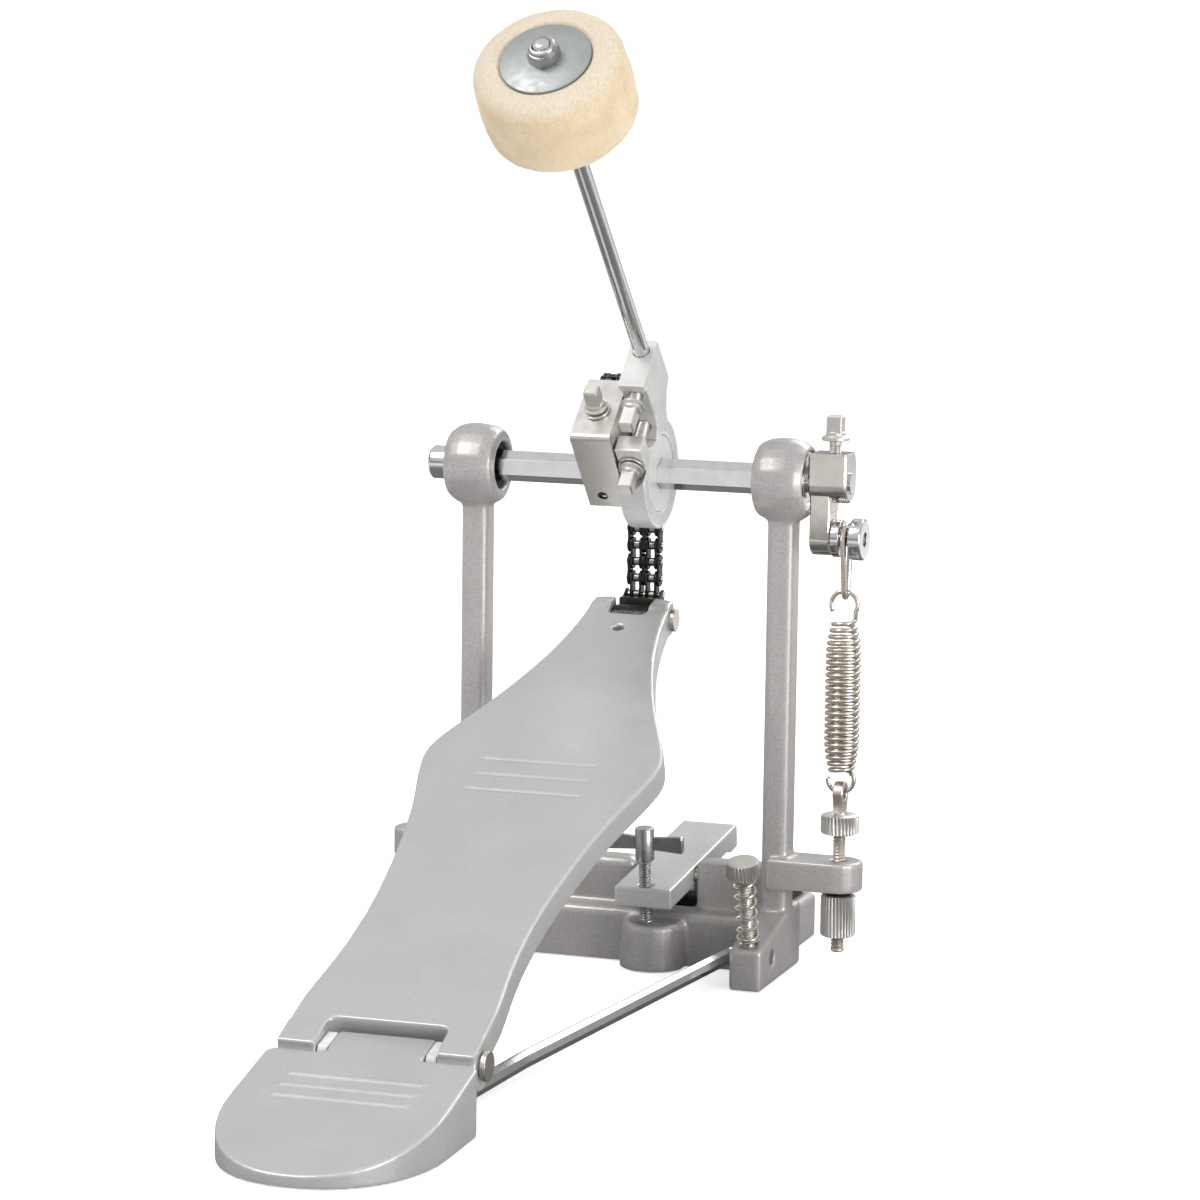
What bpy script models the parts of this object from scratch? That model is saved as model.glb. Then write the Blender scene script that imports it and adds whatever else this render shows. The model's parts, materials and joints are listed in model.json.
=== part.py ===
"""Bass drum pedal: a chain-driven, single-beater foot pedal on a cast frame.

World frame: X is the drummer's right, +Y points at the drum, +Z is up, and the origin is on the floor
under the middle of the shaft. Lengths below are millimetres and angles degrees. The builders turn
them into metres.
"""

import math

import bmesh
import bpy
from mathutils import Matrix, Vector

MM = 0.001
GAP = 0.3  # air between two pieces that touch on the real pedal
FIT = 0.15  # radial air round a pin in its hole
ROUND = 20  # sides of a common cylinder

# Shaft and the two housings that carry it
SHAFT_Z = 184.0
HEX_FLATS = 10.0
JOURNAL_R = 4.0
HEX_HALF_LENGTH = 50.0
SHAFT_LEFT = -76.0
SHAFT_RIGHT = 86.0
POST_X = 60.0
HOUSING_HALF = 10.0
BEARING_R = 11.0
BEARING_WIDTH = 7.0
SEAL_R = 9.0

# Base casting
BASE_HALF = 56.0
BAR_FRONT = -8.0
BAR_TOP = 20.0
SHELF_BACK = 62.0
SHELF_TOP = 17.0
SPUR_BLOCK = (53.0, 65.5, -38.0, 14.5)  # inner X, outer X, front Y, back Y
POST_WIDTH = 10.5
POST_DEPTH = 11.5
POST_TOP = 172.0
LUG_FRONT = 1.5
LUG_BACK = 13.0
LUG_TOP = 38.0
ARM_LOW = 32.2
ARM_HIGH = 43.5
ARM_HALF_DEPTH = 9.0
SPRING_X = 83.7
BOSS = (15.5, -11.5)
BOSS_R = 12.8
BOSS_TOP = 17.5

# Hoop clamp
CLAMP_X = (4.5, 26.5)
CLAMP_THICK = 7.5
CLAMP_SLOPE = 6.5
CLAMP_PIVOT = (6.5, 32.0)  # Y, Z
CLAMP_PIN_R = 2.5
CLAMP_FRONT = -31.5  # along the plate, from the pivot
CLAMP_BACK = 52.5
WING_BOLT_ALONG = -27.0
WING_BOLT_R = 2.6

# Spur screws
SPUR_X = 59.2
SPUR_Y = -31.0  # where the axis leaves the top of its block
SPUR_BLOCK_TOP = 16.5
SPUR_TILT = 15.7
SPUR_R = 2.5

# Wire frame that joins the base to the heel plate
RADIUS_ROD_R = 3.0
ROD_EYE = (-22.5, 9.8)  # Y, Z of its turned-out ends in the base

# Treadle: heel hinge, then distances along the footboard from that hinge
HEEL_HINGE = (1.2, -247.0, 20.5)
TREADLE_YAW = 1.1
BOARD_PITCH = 21.6
BOARD_TOP = 7.3
BOARD_UNDER = -2.7
BOARD_SKIN = 3.6
BOARD_WALL = 3.6
BOARD_OUTLINE = [
    (-2, 33.8), (20, 33.5), (45, 30.8), (70, 29.9), (95, 31.3), (118, 33.8), (139, 37.3),
    (157, 41.6), (172, 44.0), (184, 41.8), (203, 34.2), (223, 27.0), (246, 20.6), (269, 16.7), (289, 15.4),
]
TOE_PIN = (284.0, 1.8)  # along the board, above the hinge line
TOE_NOTCH = (278.0, 7.5)  # start along the board, half width
HEEL_SLOT = (9.5, 20.8)
HEEL_PIN_R = 3.0

# Cam, chain
CHAIN_X = -4.6
CHAIN_PITCH = 6.35
CHAIN_RADIUS = 33.5
CHAIN_PLATE_R = 2.95
PIN_R = 1.15
BUSH_R = 1.65
PIN_HALF = 7.25
BUSH_HALF = 4.8
OUTER_PLATES = [(5.2, 6.4), (-6.4, -5.2)]
INNER_PLATES = [(3.7, 4.9), (-4.9, -3.7)]
MIDDLE_PLATES = [(0.9, 2.1), (-2.1, -0.9)]
LOOSE_LINKS = 5
WRAPPED_LINKS = 4
HANGING_LINKS = 8
BRACKET_X = (-13.2, 2.0)
BRACKET_TILT = 41.6
BRACKET_FRONT = -13.3
BRACKET_TOP = 32.6
BRACKET_SHEET = 1.5
CAM_SCREW_U = 0.3
CAM_SCREW_X = -5.8

# Beater: t runs along the rod, n square to it towards the drum, both from the shaft's axis
BEATER_X = 7.4
BEATER_LEAN = 45.1
ROD_N = 25.0
ROD_R = 3.0
HUB_X = (2.4, 12.5)
HUB_BORE_R = 14.4
LOCK_SCREW_T = 33.0
CLAMP_SCREW_T = 17.2
FELT_R = 26.8
FELT_T = (162.0, 192.0)

# Rocker and tension spring
ROCKER_Z = 163.5
SPRING_R = 6.35
SPRING_Z = (75.5, 132.7)
HOOK_Z = 69.0  # where the lower hook hangs in the eye of the tension rod
HOOK_R = 5.0
HOOK_WIRE_R = 0.8
TENSION_ROD_R = 2.5
UPPER_NUT = (53.6, 60.8, 7.1)  # low Z, high Z, radius
LOWER_NUT = (15.0, 30.7, 6.5)


# ---------------------------------------------------------------- placing and building

def axes_at(origin, first, second):
    """World matrix, in metres, of a local frame: its origin in mm, its X and Y as world directions."""
    first, second = Vector(first).normalized(), Vector(second).normalized()
    matrix = Matrix((first, second, first.cross(second))).transposed().to_4x4()
    matrix.translation = Vector(origin) * MM
    return matrix


WORLD = Matrix.Identity(4)
X_AXIS, Y_AXIS, Z_AXIS = Vector((1, 0, 0)), Vector((0, 1, 0)), Vector((0, 0, 1))


def side_view(x, y, z, turn=0.0):
    """A frame whose first two axes are +Y and +Z, turned about +X: outlines are drawn from the side."""
    turn = math.radians(turn)
    first = (0, math.cos(turn), math.sin(turn))
    return axes_at((x, y, z), first, (0, -math.sin(turn), math.cos(turn)))


def collection(name, hidden=False):
    made = bpy.data.collections.new(name)
    made.hide_render = hidden
    bpy.context.scene.collection.children.link(made)
    return made


for old in list(bpy.data.objects):
    bpy.data.objects.remove(old)
PARTS = collection("bass_drum_pedal")
CUTTERS = collection("cutters", hidden=True)


def object_from(name, bm, place):
    """An object at place from a bmesh in millimetres."""
    bmesh.ops.scale(bm, vec=(MM, MM, MM), verts=bm.verts)
    mesh = bpy.data.meshes.new(name)
    bm.to_mesh(mesh)
    bm.free()
    obj = bpy.data.objects.new(name, mesh)
    PARTS.objects.link(obj)
    obj.matrix_world = place
    return obj


def rounded(obj, width, segments=2, limit=40):
    """Rounds the object's edges with a Bevel modifier."""
    bevel = obj.modifiers.new("Bevel", "BEVEL")
    bevel.width = width * MM
    bevel.segments = segments
    bevel.limit_method = "ANGLE"
    bevel.angle_limit = math.radians(limit)
    return obj


def box(name, low, high, place=WORLD, rounding=0.0):
    low, high = Vector(low), Vector(high)
    bm = bmesh.new()
    size = Matrix.Diagonal((high - low).to_4d())
    size[3][3] = 1
    bmesh.ops.create_cube(bm, size=1, matrix=Matrix.Translation((low + high) / 2) @ size)
    obj = object_from(name, bm, place)
    return rounded(obj, rounding) if rounding else obj


def rod(name, start, end, radius, place=WORLD, end_radius=None, sides=ROUND):
    """A straight round bar, or a cone with a second radius."""
    start, end = Vector(start), Vector(end)
    bm = bmesh.new()
    turn = Z_AXIS.rotation_difference(end - start).to_matrix().to_4x4()
    bmesh.ops.create_cone(
        bm, cap_ends=True, segments=sides, radius1=radius,
        radius2=radius if end_radius is None else end_radius,
        depth=(end - start).length, matrix=Matrix.Translation((start + end) / 2) @ turn,
    )
    return object_from(name, bm, place)


def turned(name, profile, place=WORLD, ring=False, sides=ROUND):
    """A solid of revolution about local Z: (radius, z) points run down its outer side.
    A ring's profile closes on itself."""
    bm = bmesh.new()
    points = [bm.verts.new((r, 0, z)) for r, z in profile]
    for a, b in zip(points, points[1:] + points[:1] if ring else points[1:]):
        bm.edges.new((a, b))
    obj = object_from(name, bm, place)
    screw = obj.modifiers.new("Screw", "SCREW")
    screw.steps = screw.render_steps = sides
    screw.use_merge_vertices = True
    screw.merge_threshold = 0.00001
    return obj


def meshed(curve):
    """The curve object as a mesh object with welded caps, in the same place."""
    bpy.context.view_layer.update()
    evaluated = curve.evaluated_get(bpy.context.evaluated_depsgraph_get())
    mesh = bpy.data.meshes.new_from_object(evaluated)
    bm = bmesh.new()
    bm.from_mesh(mesh)
    bmesh.ops.remove_doubles(bm, verts=bm.verts, dist=0.000002)
    bm.to_mesh(mesh)
    bm.free()
    name, place = curve.name, curve.matrix_world.copy()
    bpy.data.objects.remove(curve)
    obj = bpy.data.objects.new(name, mesh)
    PARTS.objects.link(obj)
    obj.matrix_world = place
    return obj


def curve_object(name, points, place, closed, flat):
    data = bpy.data.curves.new(name, "CURVE")
    data.dimensions = "2D" if flat else "3D"
    spline = data.splines.new("POLY")
    spline.points.add(len(points) - 1)
    for point, at in zip(spline.points, points):
        point.co = (*(Vector(at).to_3d() * MM), 1)
    spline.use_cyclic_u = closed
    obj = bpy.data.objects.new(name, data)
    PARTS.objects.link(obj)
    obj.matrix_world = place
    return obj


def plate(name, outline, low, high, place=WORLD):
    """A flat outline in the local XY plane, made solid from z = low to z = high."""
    place = place @ Matrix.Translation((0, 0, (low + high) / 2 * MM))
    obj = curve_object(name, outline, place, closed=True, flat=True)
    obj.data.fill_mode = "BOTH"
    obj.data.extrude = (high - low) / 2 * MM
    return meshed(obj)


def wire(name, points, radius, place=WORLD, closed=False):
    obj = curve_object(name, points, place, closed, flat=False)
    obj.data.bevel_depth = radius * MM
    obj.data.bevel_resolution = 2
    obj.data.use_fill_caps = True
    return meshed(obj)


def arc(centre, radius, start, end, steps=8):
    """Points of an arc, from one angle to the other."""
    angles = [math.radians(start + (end - start) * i / steps) for i in range(steps + 1)]
    return [(centre[0] + radius * math.cos(a), centre[1] + radius * math.sin(a)) for a in angles]


def soft_corners(points, radius, steps=5):
    """An open path with each of its corners turned into a curve."""
    points = [Vector(p) for p in points]
    path = [points[0]]
    for before, corner, after in zip(points, points[1:], points[2:]):
        reach = min(radius, (before - corner).length * 0.48, (after - corner).length * 0.48)
        start = corner + (before - corner).normalized() * reach
        end = corner + (after - corner).normalized() * reach
        for i in range(steps + 1):
            t = i / steps
            path.append(start * (1 - t) ** 2 + corner * 2 * t * (1 - t) + end * t**2)
    return path + [points[-1]]


def through(points, steps=3):
    """A smooth line through the points (Catmull-Rom)."""
    points = [Vector(p) for p in points]
    ends = [2 * points[0] - points[1]] + points + [2 * points[-1] - points[-2]]
    line = []
    for a, b, c, d in zip(ends, ends[1:], ends[2:], ends[3:]):
        for i in range(steps):
            t = i / steps
            square = (2 * a - 5 * b + 4 * c - d) * t**2
            cube = (3 * b - a - 3 * c + d) * t**3
            line.append(0.5 * (2 * b + (c - a) * t + square + cube))
    return line + [points[-1]]


def as_cutter(obj):
    PARTS.objects.unlink(obj)
    CUTTERS.objects.link(obj)
    obj.hide_render = True
    obj.display_type = "WIRE"


def combine(operation, obj, others):
    for other in others:
        boolean = obj.modifiers.new(operation.title(), "BOOLEAN")
        boolean.operation = operation
        boolean.object = other
        as_cutter(other)
    return obj


def fuse(obj, *others):
    return combine("UNION", obj, others)


def cut(obj, *others):
    return combine("DIFFERENCE", obj, others)


def merged(name, objects):
    """One object from separate solids that all share one place."""
    bm = bmesh.new()
    place = objects[0].matrix_world.copy()
    for obj in objects:
        obj.data.transform(place.inverted() @ obj.matrix_world)
        bm.from_mesh(obj.data)
        bpy.data.objects.remove(obj)
    mesh = bpy.data.meshes.new(name)
    bm.to_mesh(mesh)
    bm.free()
    made = bpy.data.objects.new(name, mesh)
    PARTS.objects.link(made)
    made.matrix_world = place
    return made


# ---------------------------------------------------------------- finishes and joints

FINISHES = {  # linear colour, metallic, roughness
    "cast_paint": ((0.50, 0.49, 0.48), 0.55, 0.38),
    "cast_aluminium": ((0.66, 0.65, 0.63), 0.9, 0.36),
    "nickel": ((0.70, 0.66, 0.61), 1.0, 0.2),
    "satin_nickel": ((0.56, 0.53, 0.49), 1.0, 0.34),
    "chrome": ((0.75, 0.75, 0.76), 1.0, 0.1),
    "black_steel": ((0.02, 0.02, 0.022), 0.8, 0.35),
    "black_rubber": ((0.018, 0.018, 0.018), 0.0, 0.8),
    "white_nylon": ((0.8, 0.8, 0.78), 0.0, 0.45),
    "felt": ((0.62, 0.55, 0.44), 0.0, 0.95),
}


def finish(obj, kind, parent=None, smooth=True):
    """Gives the object its own material and hangs it on its joint's empty where it rests."""
    colour, metallic, roughness = FINISHES[kind]
    material = bpy.data.materials.new(f"{obj.name}_{kind}")
    material.use_nodes = True
    shader = material.node_tree.nodes["Principled BSDF"]
    shader.inputs["Base Color"].default_value = (*colour, 1)
    shader.inputs["Metallic"].default_value = metallic
    shader.inputs["Roughness"].default_value = roughness
    obj.data.materials.clear()
    obj.data.materials.append(material)
    if smooth:
        obj.data.shade_smooth()
        obj.data.set_sharp_from_angle(angle=math.radians(35))
    if parent:
        obj.parent = parent
        obj.matrix_parent_inverse = parent.matrix_world.inverted()
    return obj


def joint(name, origin, parent=None):
    """An empty on a joint's axis."""
    empty = bpy.data.objects.new(name, None)
    empty.empty_display_size = 0.01
    empty.location = Vector(origin) * MM
    PARTS.objects.link(empty)
    bpy.context.view_layer.update()
    if parent:
        empty.parent = parent
        empty.matrix_parent_inverse = parent.matrix_world.inverted()
        bpy.context.view_layer.update()
    return empty


SHAFT_AXIS = joint("shaft_axis", (0, 0, SHAFT_Z))
BEATER_AXIS = joint("beater_axis", (BEATER_X, 0, SHAFT_Z), SHAFT_AXIS)
BOARD_AXIS = joint("board_axis", HEEL_HINGE)
CLAMP_AXIS = joint("clamp_axis", (BOSS[0], *CLAMP_PIVOT))
HOOK_AXIS = joint("hook_axis", (SPRING_X, 0, HOOK_Z))

SHAFT_SIDE = side_view(0, 0, SHAFT_Z)
BEATER_SIDE = side_view(0, 0, SHAFT_Z, BEATER_LEAN)  # outlines in (n, t)
BRACKET_SIDE = side_view(0, 0, SHAFT_Z, BRACKET_TILT)
YAW = math.radians(TREADLE_YAW)
HEEL = axes_at(HEEL_HINGE, (math.cos(YAW), math.sin(YAW), 0), (-math.sin(YAW), math.cos(YAW), 0))
BOARD = HEEL @ Matrix.Rotation(math.radians(BOARD_PITCH), 4, "X")  # x across, y along, z out of the top
SIDEWAYS = axes_at((0, 0, 0), (0, 0, -1), (0, 1, 0))  # local Z along +X


def across(x, y, z):
    """A frame for turned pieces whose axis runs along +X."""
    return Matrix.Translation(Vector((x, y, z)) * MM) @ SIDEWAYS


def hexagon(flats, turn=0.0):
    return arc((0, 0), flats / math.sqrt(3), 30 + turn, 330 + turn, 5)


def ring_profile(inner, outer, low, high):
    return [(outer, high), (outer, low), (inner, low), (inner, high)]


# ---------------------------------------------------------------- frame casting

def housing(side):
    """Barrel at the top of a post, fatter in its middle."""
    profile = [(10.5, 10), (13.4, 9), (15.0, 5.5), (15.6, 1), (15.6, -3), (14.6, -7), (12.5, -10)]
    if side > 0:
        profile = [(r, -z) for r, z in reversed(profile)]
    profile = [(0, profile[0][1]), *profile, (0, profile[-1][1])]
    return turned("housing", profile, across(side * POST_X, 0, SHAFT_Z))


def half_of_base(side):
    """Post, spur block and spring arm of one side."""
    inner, outer, front, back = SPUR_BLOCK
    x = side * POST_X
    span = sorted((side * inner, side * outer))
    half_width, half_depth = POST_WIDTH / 2, POST_DEPTH / 2
    low, high = (x - half_width, -half_depth, 10), (x + half_width, half_depth, POST_TOP)
    post = box("post", low, high, rounding=2.6)
    outline = [(front, -6), (back, -6), (back, 24), (-6, 23), (front + 5, 16.2), (front, 15.2)]
    foot = plate("spur_block", outline, *span, side_view(0, 0, 0))
    rounded(foot, 1.3)
    tip = SPRING_X * side
    end = arc((tip, 0), ARM_HALF_DEPTH, -90, 90) if side > 0 else arc((tip, 0), ARM_HALF_DEPTH, 90, 270)
    root = [(side * 58, ARM_HALF_DEPTH * side), (side * 58, -ARM_HALF_DEPTH * side)]
    arm = plate("spring_arm", end + root, ARM_LOW, ARM_HIGH)
    rounded(arm, 1.6)
    return [housing(side), post, foot, arm]


def shelf():
    """Flat floor that the drum hoop rests over, its side walls lower at the back."""
    low, high = (-BASE_HALF - 2, LUG_FRONT + 3, -4), (BASE_HALF + 2, SHELF_BACK, SHELF_TOP)
    body = box("shelf", low, high, rounding=2)
    recess = box("shelf_recess", (-BASE_HALF + 6, 20, -9), (BASE_HALF - 6, SHELF_BACK - 8, 7))
    return cut(body, recess)


def frame_casting():
    bar = box("frame_casting", (-BASE_HALF, BAR_FRONT, -3), (BASE_HALF, LUG_FRONT + 6, BAR_TOP), rounding=2.5)
    profile = [(0, BOSS_TOP), (BOSS_R - 2.6, BOSS_TOP), (BOSS_R - 1.2, BOSS_TOP - 1.5), (BOSS_R, -5), (0, -5)]
    boss = turned("boss", profile, Matrix.Translation(Vector((*BOSS, 0)) * MM))
    low, high = (CLAMP_X[1] + 0.8, LUG_FRONT, 8), (58.3, LUG_BACK, LUG_TOP + 0.5)
    lug_right = box("lug_right", low, high, rounding=3)
    lug_left = box("lug_left", (-58.3, LUG_FRONT, 8), (CLAMP_X[0] - 0.8, LUG_BACK, LUG_TOP - 0.5), rounding=3)
    fuse(bar, shelf(), boss, lug_right, lug_left, *half_of_base(1), *half_of_base(-1))
    holes = [box("ground", (-99, -99, -20), (99, 99, 0))]
    holes += [rod("pivot_hole", (-6, *CLAMP_PIVOT), (38, *CLAMP_PIVOT), CLAMP_PIN_R + FIT)]
    for side in (1, -1):
        face = side * (POST_X + HOUSING_HALF + 1)
        pocket = side * (POST_X + 1.7)
        inner, outer = (side * 48, 0, SHAFT_Z), (side * (POST_X + 4), 0, SHAFT_Z)
        depth = (pocket, 0, SHAFT_Z), (face, 0, SHAFT_Z)
        holes.append(rod("bearing_pocket", *depth, BEARING_R + FIT, sides=32))
        holes.append(rod("seal_hole", inner, outer, SEAL_R, sides=32))
        holes.append(rod("eye_hole", (side * 50, *ROD_EYE), (side * 68, *ROD_EYE), RADIUS_ROD_R + FIT))
        holes.append(rod("spring_hole", (side * SPRING_X, 0, 25), (side * SPRING_X, 0, 50), 2.5 + GAP))
        holes.append(rod("spur_hole", (0, 0, -30), (0, 0, 25), SPUR_R + FIT, spur_frame(side)))
    return finish(cut(bar, *holes), "cast_paint")


def spur_frame(side):
    """A frame up the spur screw's axis, from the top of its block."""
    lean = math.radians(SPUR_TILT)
    return axes_at((side * SPUR_X, SPUR_Y, SPUR_BLOCK_TOP), X_AXIS, (0, math.cos(lean), math.sin(lean)))


def bearing(name, side):
    """Sealed ball bearing: an outer ring, a recessed shield and an inner ring."""
    half = BEARING_WIDTH / 2
    profile = [
        (BEARING_R, half), (BEARING_R, -half),
        (9.4, -half), (9.4, -half + 0.5), (6.2, -half + 0.5), (6.2, -half),
        (JOURNAL_R + FIT, -half), (JOURNAL_R + FIT, half),
        (6.2, half), (6.2, half - 0.5), (9.4, half - 0.5), (9.4, half),
    ]
    x = side * (POST_X + HOUSING_HALF - half - 1.0)
    return finish(turned(name, profile, across(x, 0, SHAFT_Z), ring=True, sides=24), "chrome")


def seal(name, side):
    profile = ring_profile(6.4, SEAL_R - FIT, -4.5, 4.5)
    ring = turned(name, profile, across(side * 56.3, 0, SHAFT_Z), ring=True)
    return finish(ring, "black_rubber")


def hoop_pad():
    low, high = (-BASE_HALF + 2, 15.5, SHELF_TOP + GAP), (BASE_HALF - 2, SHELF_BACK - 2, 21.5)
    pad = box("hoop_pad", low, high, rounding=1)
    return finish(pad, "black_rubber")


# ---------------------------------------------------------------- clamp, spurs, wire frame

CLAMP = side_view(BOSS[0], *CLAMP_PIVOT, CLAMP_SLOPE)  # along the plate, square to it, +X


def clamp_plate():
    """Lever over the hoop: the wing bolt lifts its front, its back end presses the hoop on the shelf."""
    top = 3.8
    low = top - CLAMP_THICK
    outline = [
        (CLAMP_FRONT, low), (-6, low), *arc((0, -1.2), 5.2, 205, 335, 6), (6, low), (CLAMP_BACK - 12, low),
        (CLAMP_BACK - 8, low - 1.6), (CLAMP_BACK, low - 1.6), (CLAMP_BACK, top), (CLAMP_FRONT, top),
    ]
    half = (CLAMP_X[1] - CLAMP_X[0]) / 2
    body = rounded(plate("clamp_plate", outline, -half, half, CLAMP), 1.4)
    pin_hole = rod("clamp_pin_hole", (0, 0, -20), (0, 0, 20), CLAMP_PIN_R + FIT, CLAMP)
    along = WING_BOLT_ALONG
    bolt_hole = rod("clamp_bolt_hole", (along, -20, 0), (along, 20, 0), WING_BOLT_R + FIT, CLAMP)
    return finish(cut(body, pin_hole, bolt_hole), "cast_paint", CLAMP_AXIS)


def wing_bolt():
    """Bolt with a round head and two flat wings; its tip presses on the boss."""
    along = WING_BOLT_ALONG
    shank = rod("wing_bolt", (along, -10.6, 0), (along, 18, 0), WING_BOLT_R, CLAMP)
    head = rod("wing_bolt_head", (along, 13.5, 0), (along, 26.2, 0), 3.6, CLAMP)
    rounded(head, 0.6)
    wings = plate("wings", [(-15, 17.2), (15, 17.2), (15, 23.6), (-15, 23.6)], -1.3, 1.3, wing_frame())
    rounded(wings, 0.8)
    return finish(fuse(shank, head, wings), "nickel", CLAMP_AXIS)


def wing_frame():
    """X across the pedal, Y up the wing bolt."""
    return axes_at(CLAMP @ Vector((WING_BOLT_ALONG * MM, 0, 0)) / MM, X_AXIS, CLAMP.to_3x3() @ Y_AXIS)


def clamp_pin():
    pin = rod("clamp_pin", (-4, *CLAMP_PIVOT), (36, *CLAMP_PIVOT), CLAMP_PIN_R)
    return finish(pin, "nickel")


def spur_screw(name, side):
    frame = spur_frame(side)
    top = 34.7
    empty = joint(f"{name}_axis", (side * SPUR_X, SPUR_Y, SPUR_BLOCK_TOP))
    profile = [
        (0, top), (5.4, top), (6.2, top - 0.9), (6.2, top - 5.6), (5.4, top - 6.4), (SPUR_R, top - 6.4),
        (SPUR_R, -13.0), (0.4, -16.6), (0, -16.6),
    ]
    return finish(turned(name, profile, frame), "nickel", empty)


def spur_spring(name, side):
    sleeve = turned(name, ring_profile(SPUR_R + GAP, 4.3, 1.6, 28.0), spur_frame(side), ring=True, sides=16)
    return finish(sleeve, "nickel")


def radius_rod():
    """One bent wire: its ends turn out into the base, its middle lies in a channel under the heel plate."""
    y, z = ROD_EYE
    half = [(65.0, y, z), (49.6, y, z), (24.5, -184.0, 5.9), (19.5, -232.0, 4.4), (18.8, -272.0, 4.4)]
    shift = HEEL_HINGE[0]
    right = [Vector((x + (shift if y < -150 else 0), y, z)) for x, y, z in half]
    left = [Vector((-x + (shift if y < -150 else 0), y, z)) for x, y, z in reversed(half)]
    return finish(wire("radius_rod", soft_corners(right + left, 4.6), RADIUS_ROD_R), "chrome")


# ---------------------------------------------------------------- heel plate and footboard

def heel_plate():
    """D-shaped wedge with a hinge knuckle, hollow underneath, where the wire frame crosses."""
    back, nose = -9.0, -38.0
    floor = -HEEL_HINGE[2]
    power = 2.2
    curve = []
    for i in range(25):
        a = math.pi * i / 24
        x = 36.6 * abs(math.cos(a)) ** (2 / power) * (1 if a < math.pi / 2 else -1)
        curve.append((x, nose - 46.5 * math.sin(a) ** (2 / power)))
    outline = arc((-33.0, back - 3), 3.2, 90, 180, 4) + list(reversed(curve))
    outline += arc((33.0, back - 3), 3.2, 0, 90, 4)
    body = plate("heel_plate", outline, floor - 4, 4.0, HEEL)
    slope = math.radians(14.0)
    above = axes_at(HEEL @ Vector((0, back * MM, 2.4 * MM)) / MM, HEEL.to_3x3() @ X_AXIS,
                    HEEL.to_3x3() @ Vector((0, math.cos(slope), math.sin(slope))))
    cut(body, box("heel_slope", (-60, -120, 0), (60, 30, 40), above))
    rounded(body, 1.8, limit=50)
    knuckle = rod("heel_knuckle", (-16.5, 0, 0), (16.5, 0, 0), 7.5, HEEL)
    web = box("heel_web", (-16.3, back - 4, -13.5), (16.3, 0.5, -1.0), HEEL)
    fuse(body, web, knuckle)
    ground = box("heel_ground", (-60, -120, floor - 20), (60, 40, floor), HEEL)
    pocket = box("heel_pocket", (-29, -42, floor - 2), (29, back - 7, floor + 9.5), HEEL)
    slots = []
    for x in (-19.2, 19.2):
        low, high = (x - 4, back - 9, floor - 2), (x + 4, back + 4, floor + 8.2)
        slots.append(box("heel_rod_slot", low, high, HEEL))
    pin_hole = rod("heel_pin_hole", (-40, 0, 0), (40, 0, 0), HEEL_PIN_R + FIT, HEEL)
    return finish(cut(body, ground, pocket, *slots, pin_hole), "cast_paint")


def heel_pin():
    pin = rod("heel_pin", (-34.3, 0, 0), (35, 0, 0), HEEL_PIN_R, HEEL)
    head = rod("heel_pin_head", (34.6, 0, 0), (36.4, 0, 0), 5.0, HEEL)
    return finish(fuse(pin, head), "nickel")


def heel_washer(name, side):
    frame = HEEL @ Matrix.Translation((side * 18.65 * MM, 0, 0)) @ SIDEWAYS
    washer = turned(name, ring_profile(HEEL_PIN_R + FIT, 6.8, -1.8, 1.8), frame, ring=True)
    return finish(washer, "white_nylon")


def footboard():
    """Cast tread: a top skin with side walls, forked at the heel and at the toe."""
    right = [(p.y, p.x) for p in through(BOARD_OUTLINE)]
    tips = [(15.2, 289.5 + 0.01), (8.4, 290.5), (-8.4, 290.5), (-15.2, 289.51)]
    shape = right + tips + [(-x, y) for x, y in reversed(right)]
    body = rounded(plate("footboard", shape, BOARD_UNDER, BOARD_TOP, BOARD), 1.2)
    hollow_right = [(p.y - BOARD_WALL, p.x) for p in through(BOARD_OUTLINE) if 24 < p.x < 262]
    hollow = plate("board_hollow", hollow_right + [(-x, y) for x, y in reversed(hollow_right)],
                   BOARD_UNDER - 4, BOARD_TOP - BOARD_SKIN, BOARD)
    ears = []
    for side in (1, -1):
        inner, outer = (side * HEEL_SLOT[1], 0, -0.4), (side * 34, 0, -0.4)
        ears.append(rod("heel_ear", inner, outer, 7.7, BOARD))
    toes = [rod("toe_ear", (side * 7.6, *TOE_PIN), (side * 15.4, *TOE_PIN), 6.3, BOARD) for side in (1, -1)]
    fuse(cut(body, hollow), *ears, *toes)
    slot_end, slot_half = HEEL_SLOT
    slot = rounded(box("heel_slot", (-slot_half, -30, -20), (slot_half, slot_end, 20), BOARD), 3.0)
    notch_start, notch_half = TOE_NOTCH
    notch = box("toe_notch", (-notch_half, notch_start, -20), (notch_half, 310, 20), BOARD, rounding=2.0)
    pin_hole = rod("board_pin_hole", (-50, 0, 0), (50, 0, 0), HEEL_PIN_R + FIT, BOARD)
    toe_hole = rod("toe_pin_hole", (-50, *TOE_PIN), (50, *TOE_PIN), 2.5 + FIT, BOARD)
    screw_hole = rod("toe_screw_hole", (0, 267.4, -20), (0, 267.4, 20), 2.25, BOARD)
    return finish(cut(body, slot, notch, pin_hole, toe_hole, screw_hole), "cast_paint", BOARD_AXIS)


def toe_pin():
    pin = rod("toe_pin", (-15.6, *TOE_PIN), (16.2, *TOE_PIN), 2.5, BOARD)
    head = rod("toe_pin_head", (15.9, *TOE_PIN), (17.6, *TOE_PIN), 4.4, BOARD)
    return finish(fuse(pin, head), "nickel", BOARD_AXIS)


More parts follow.
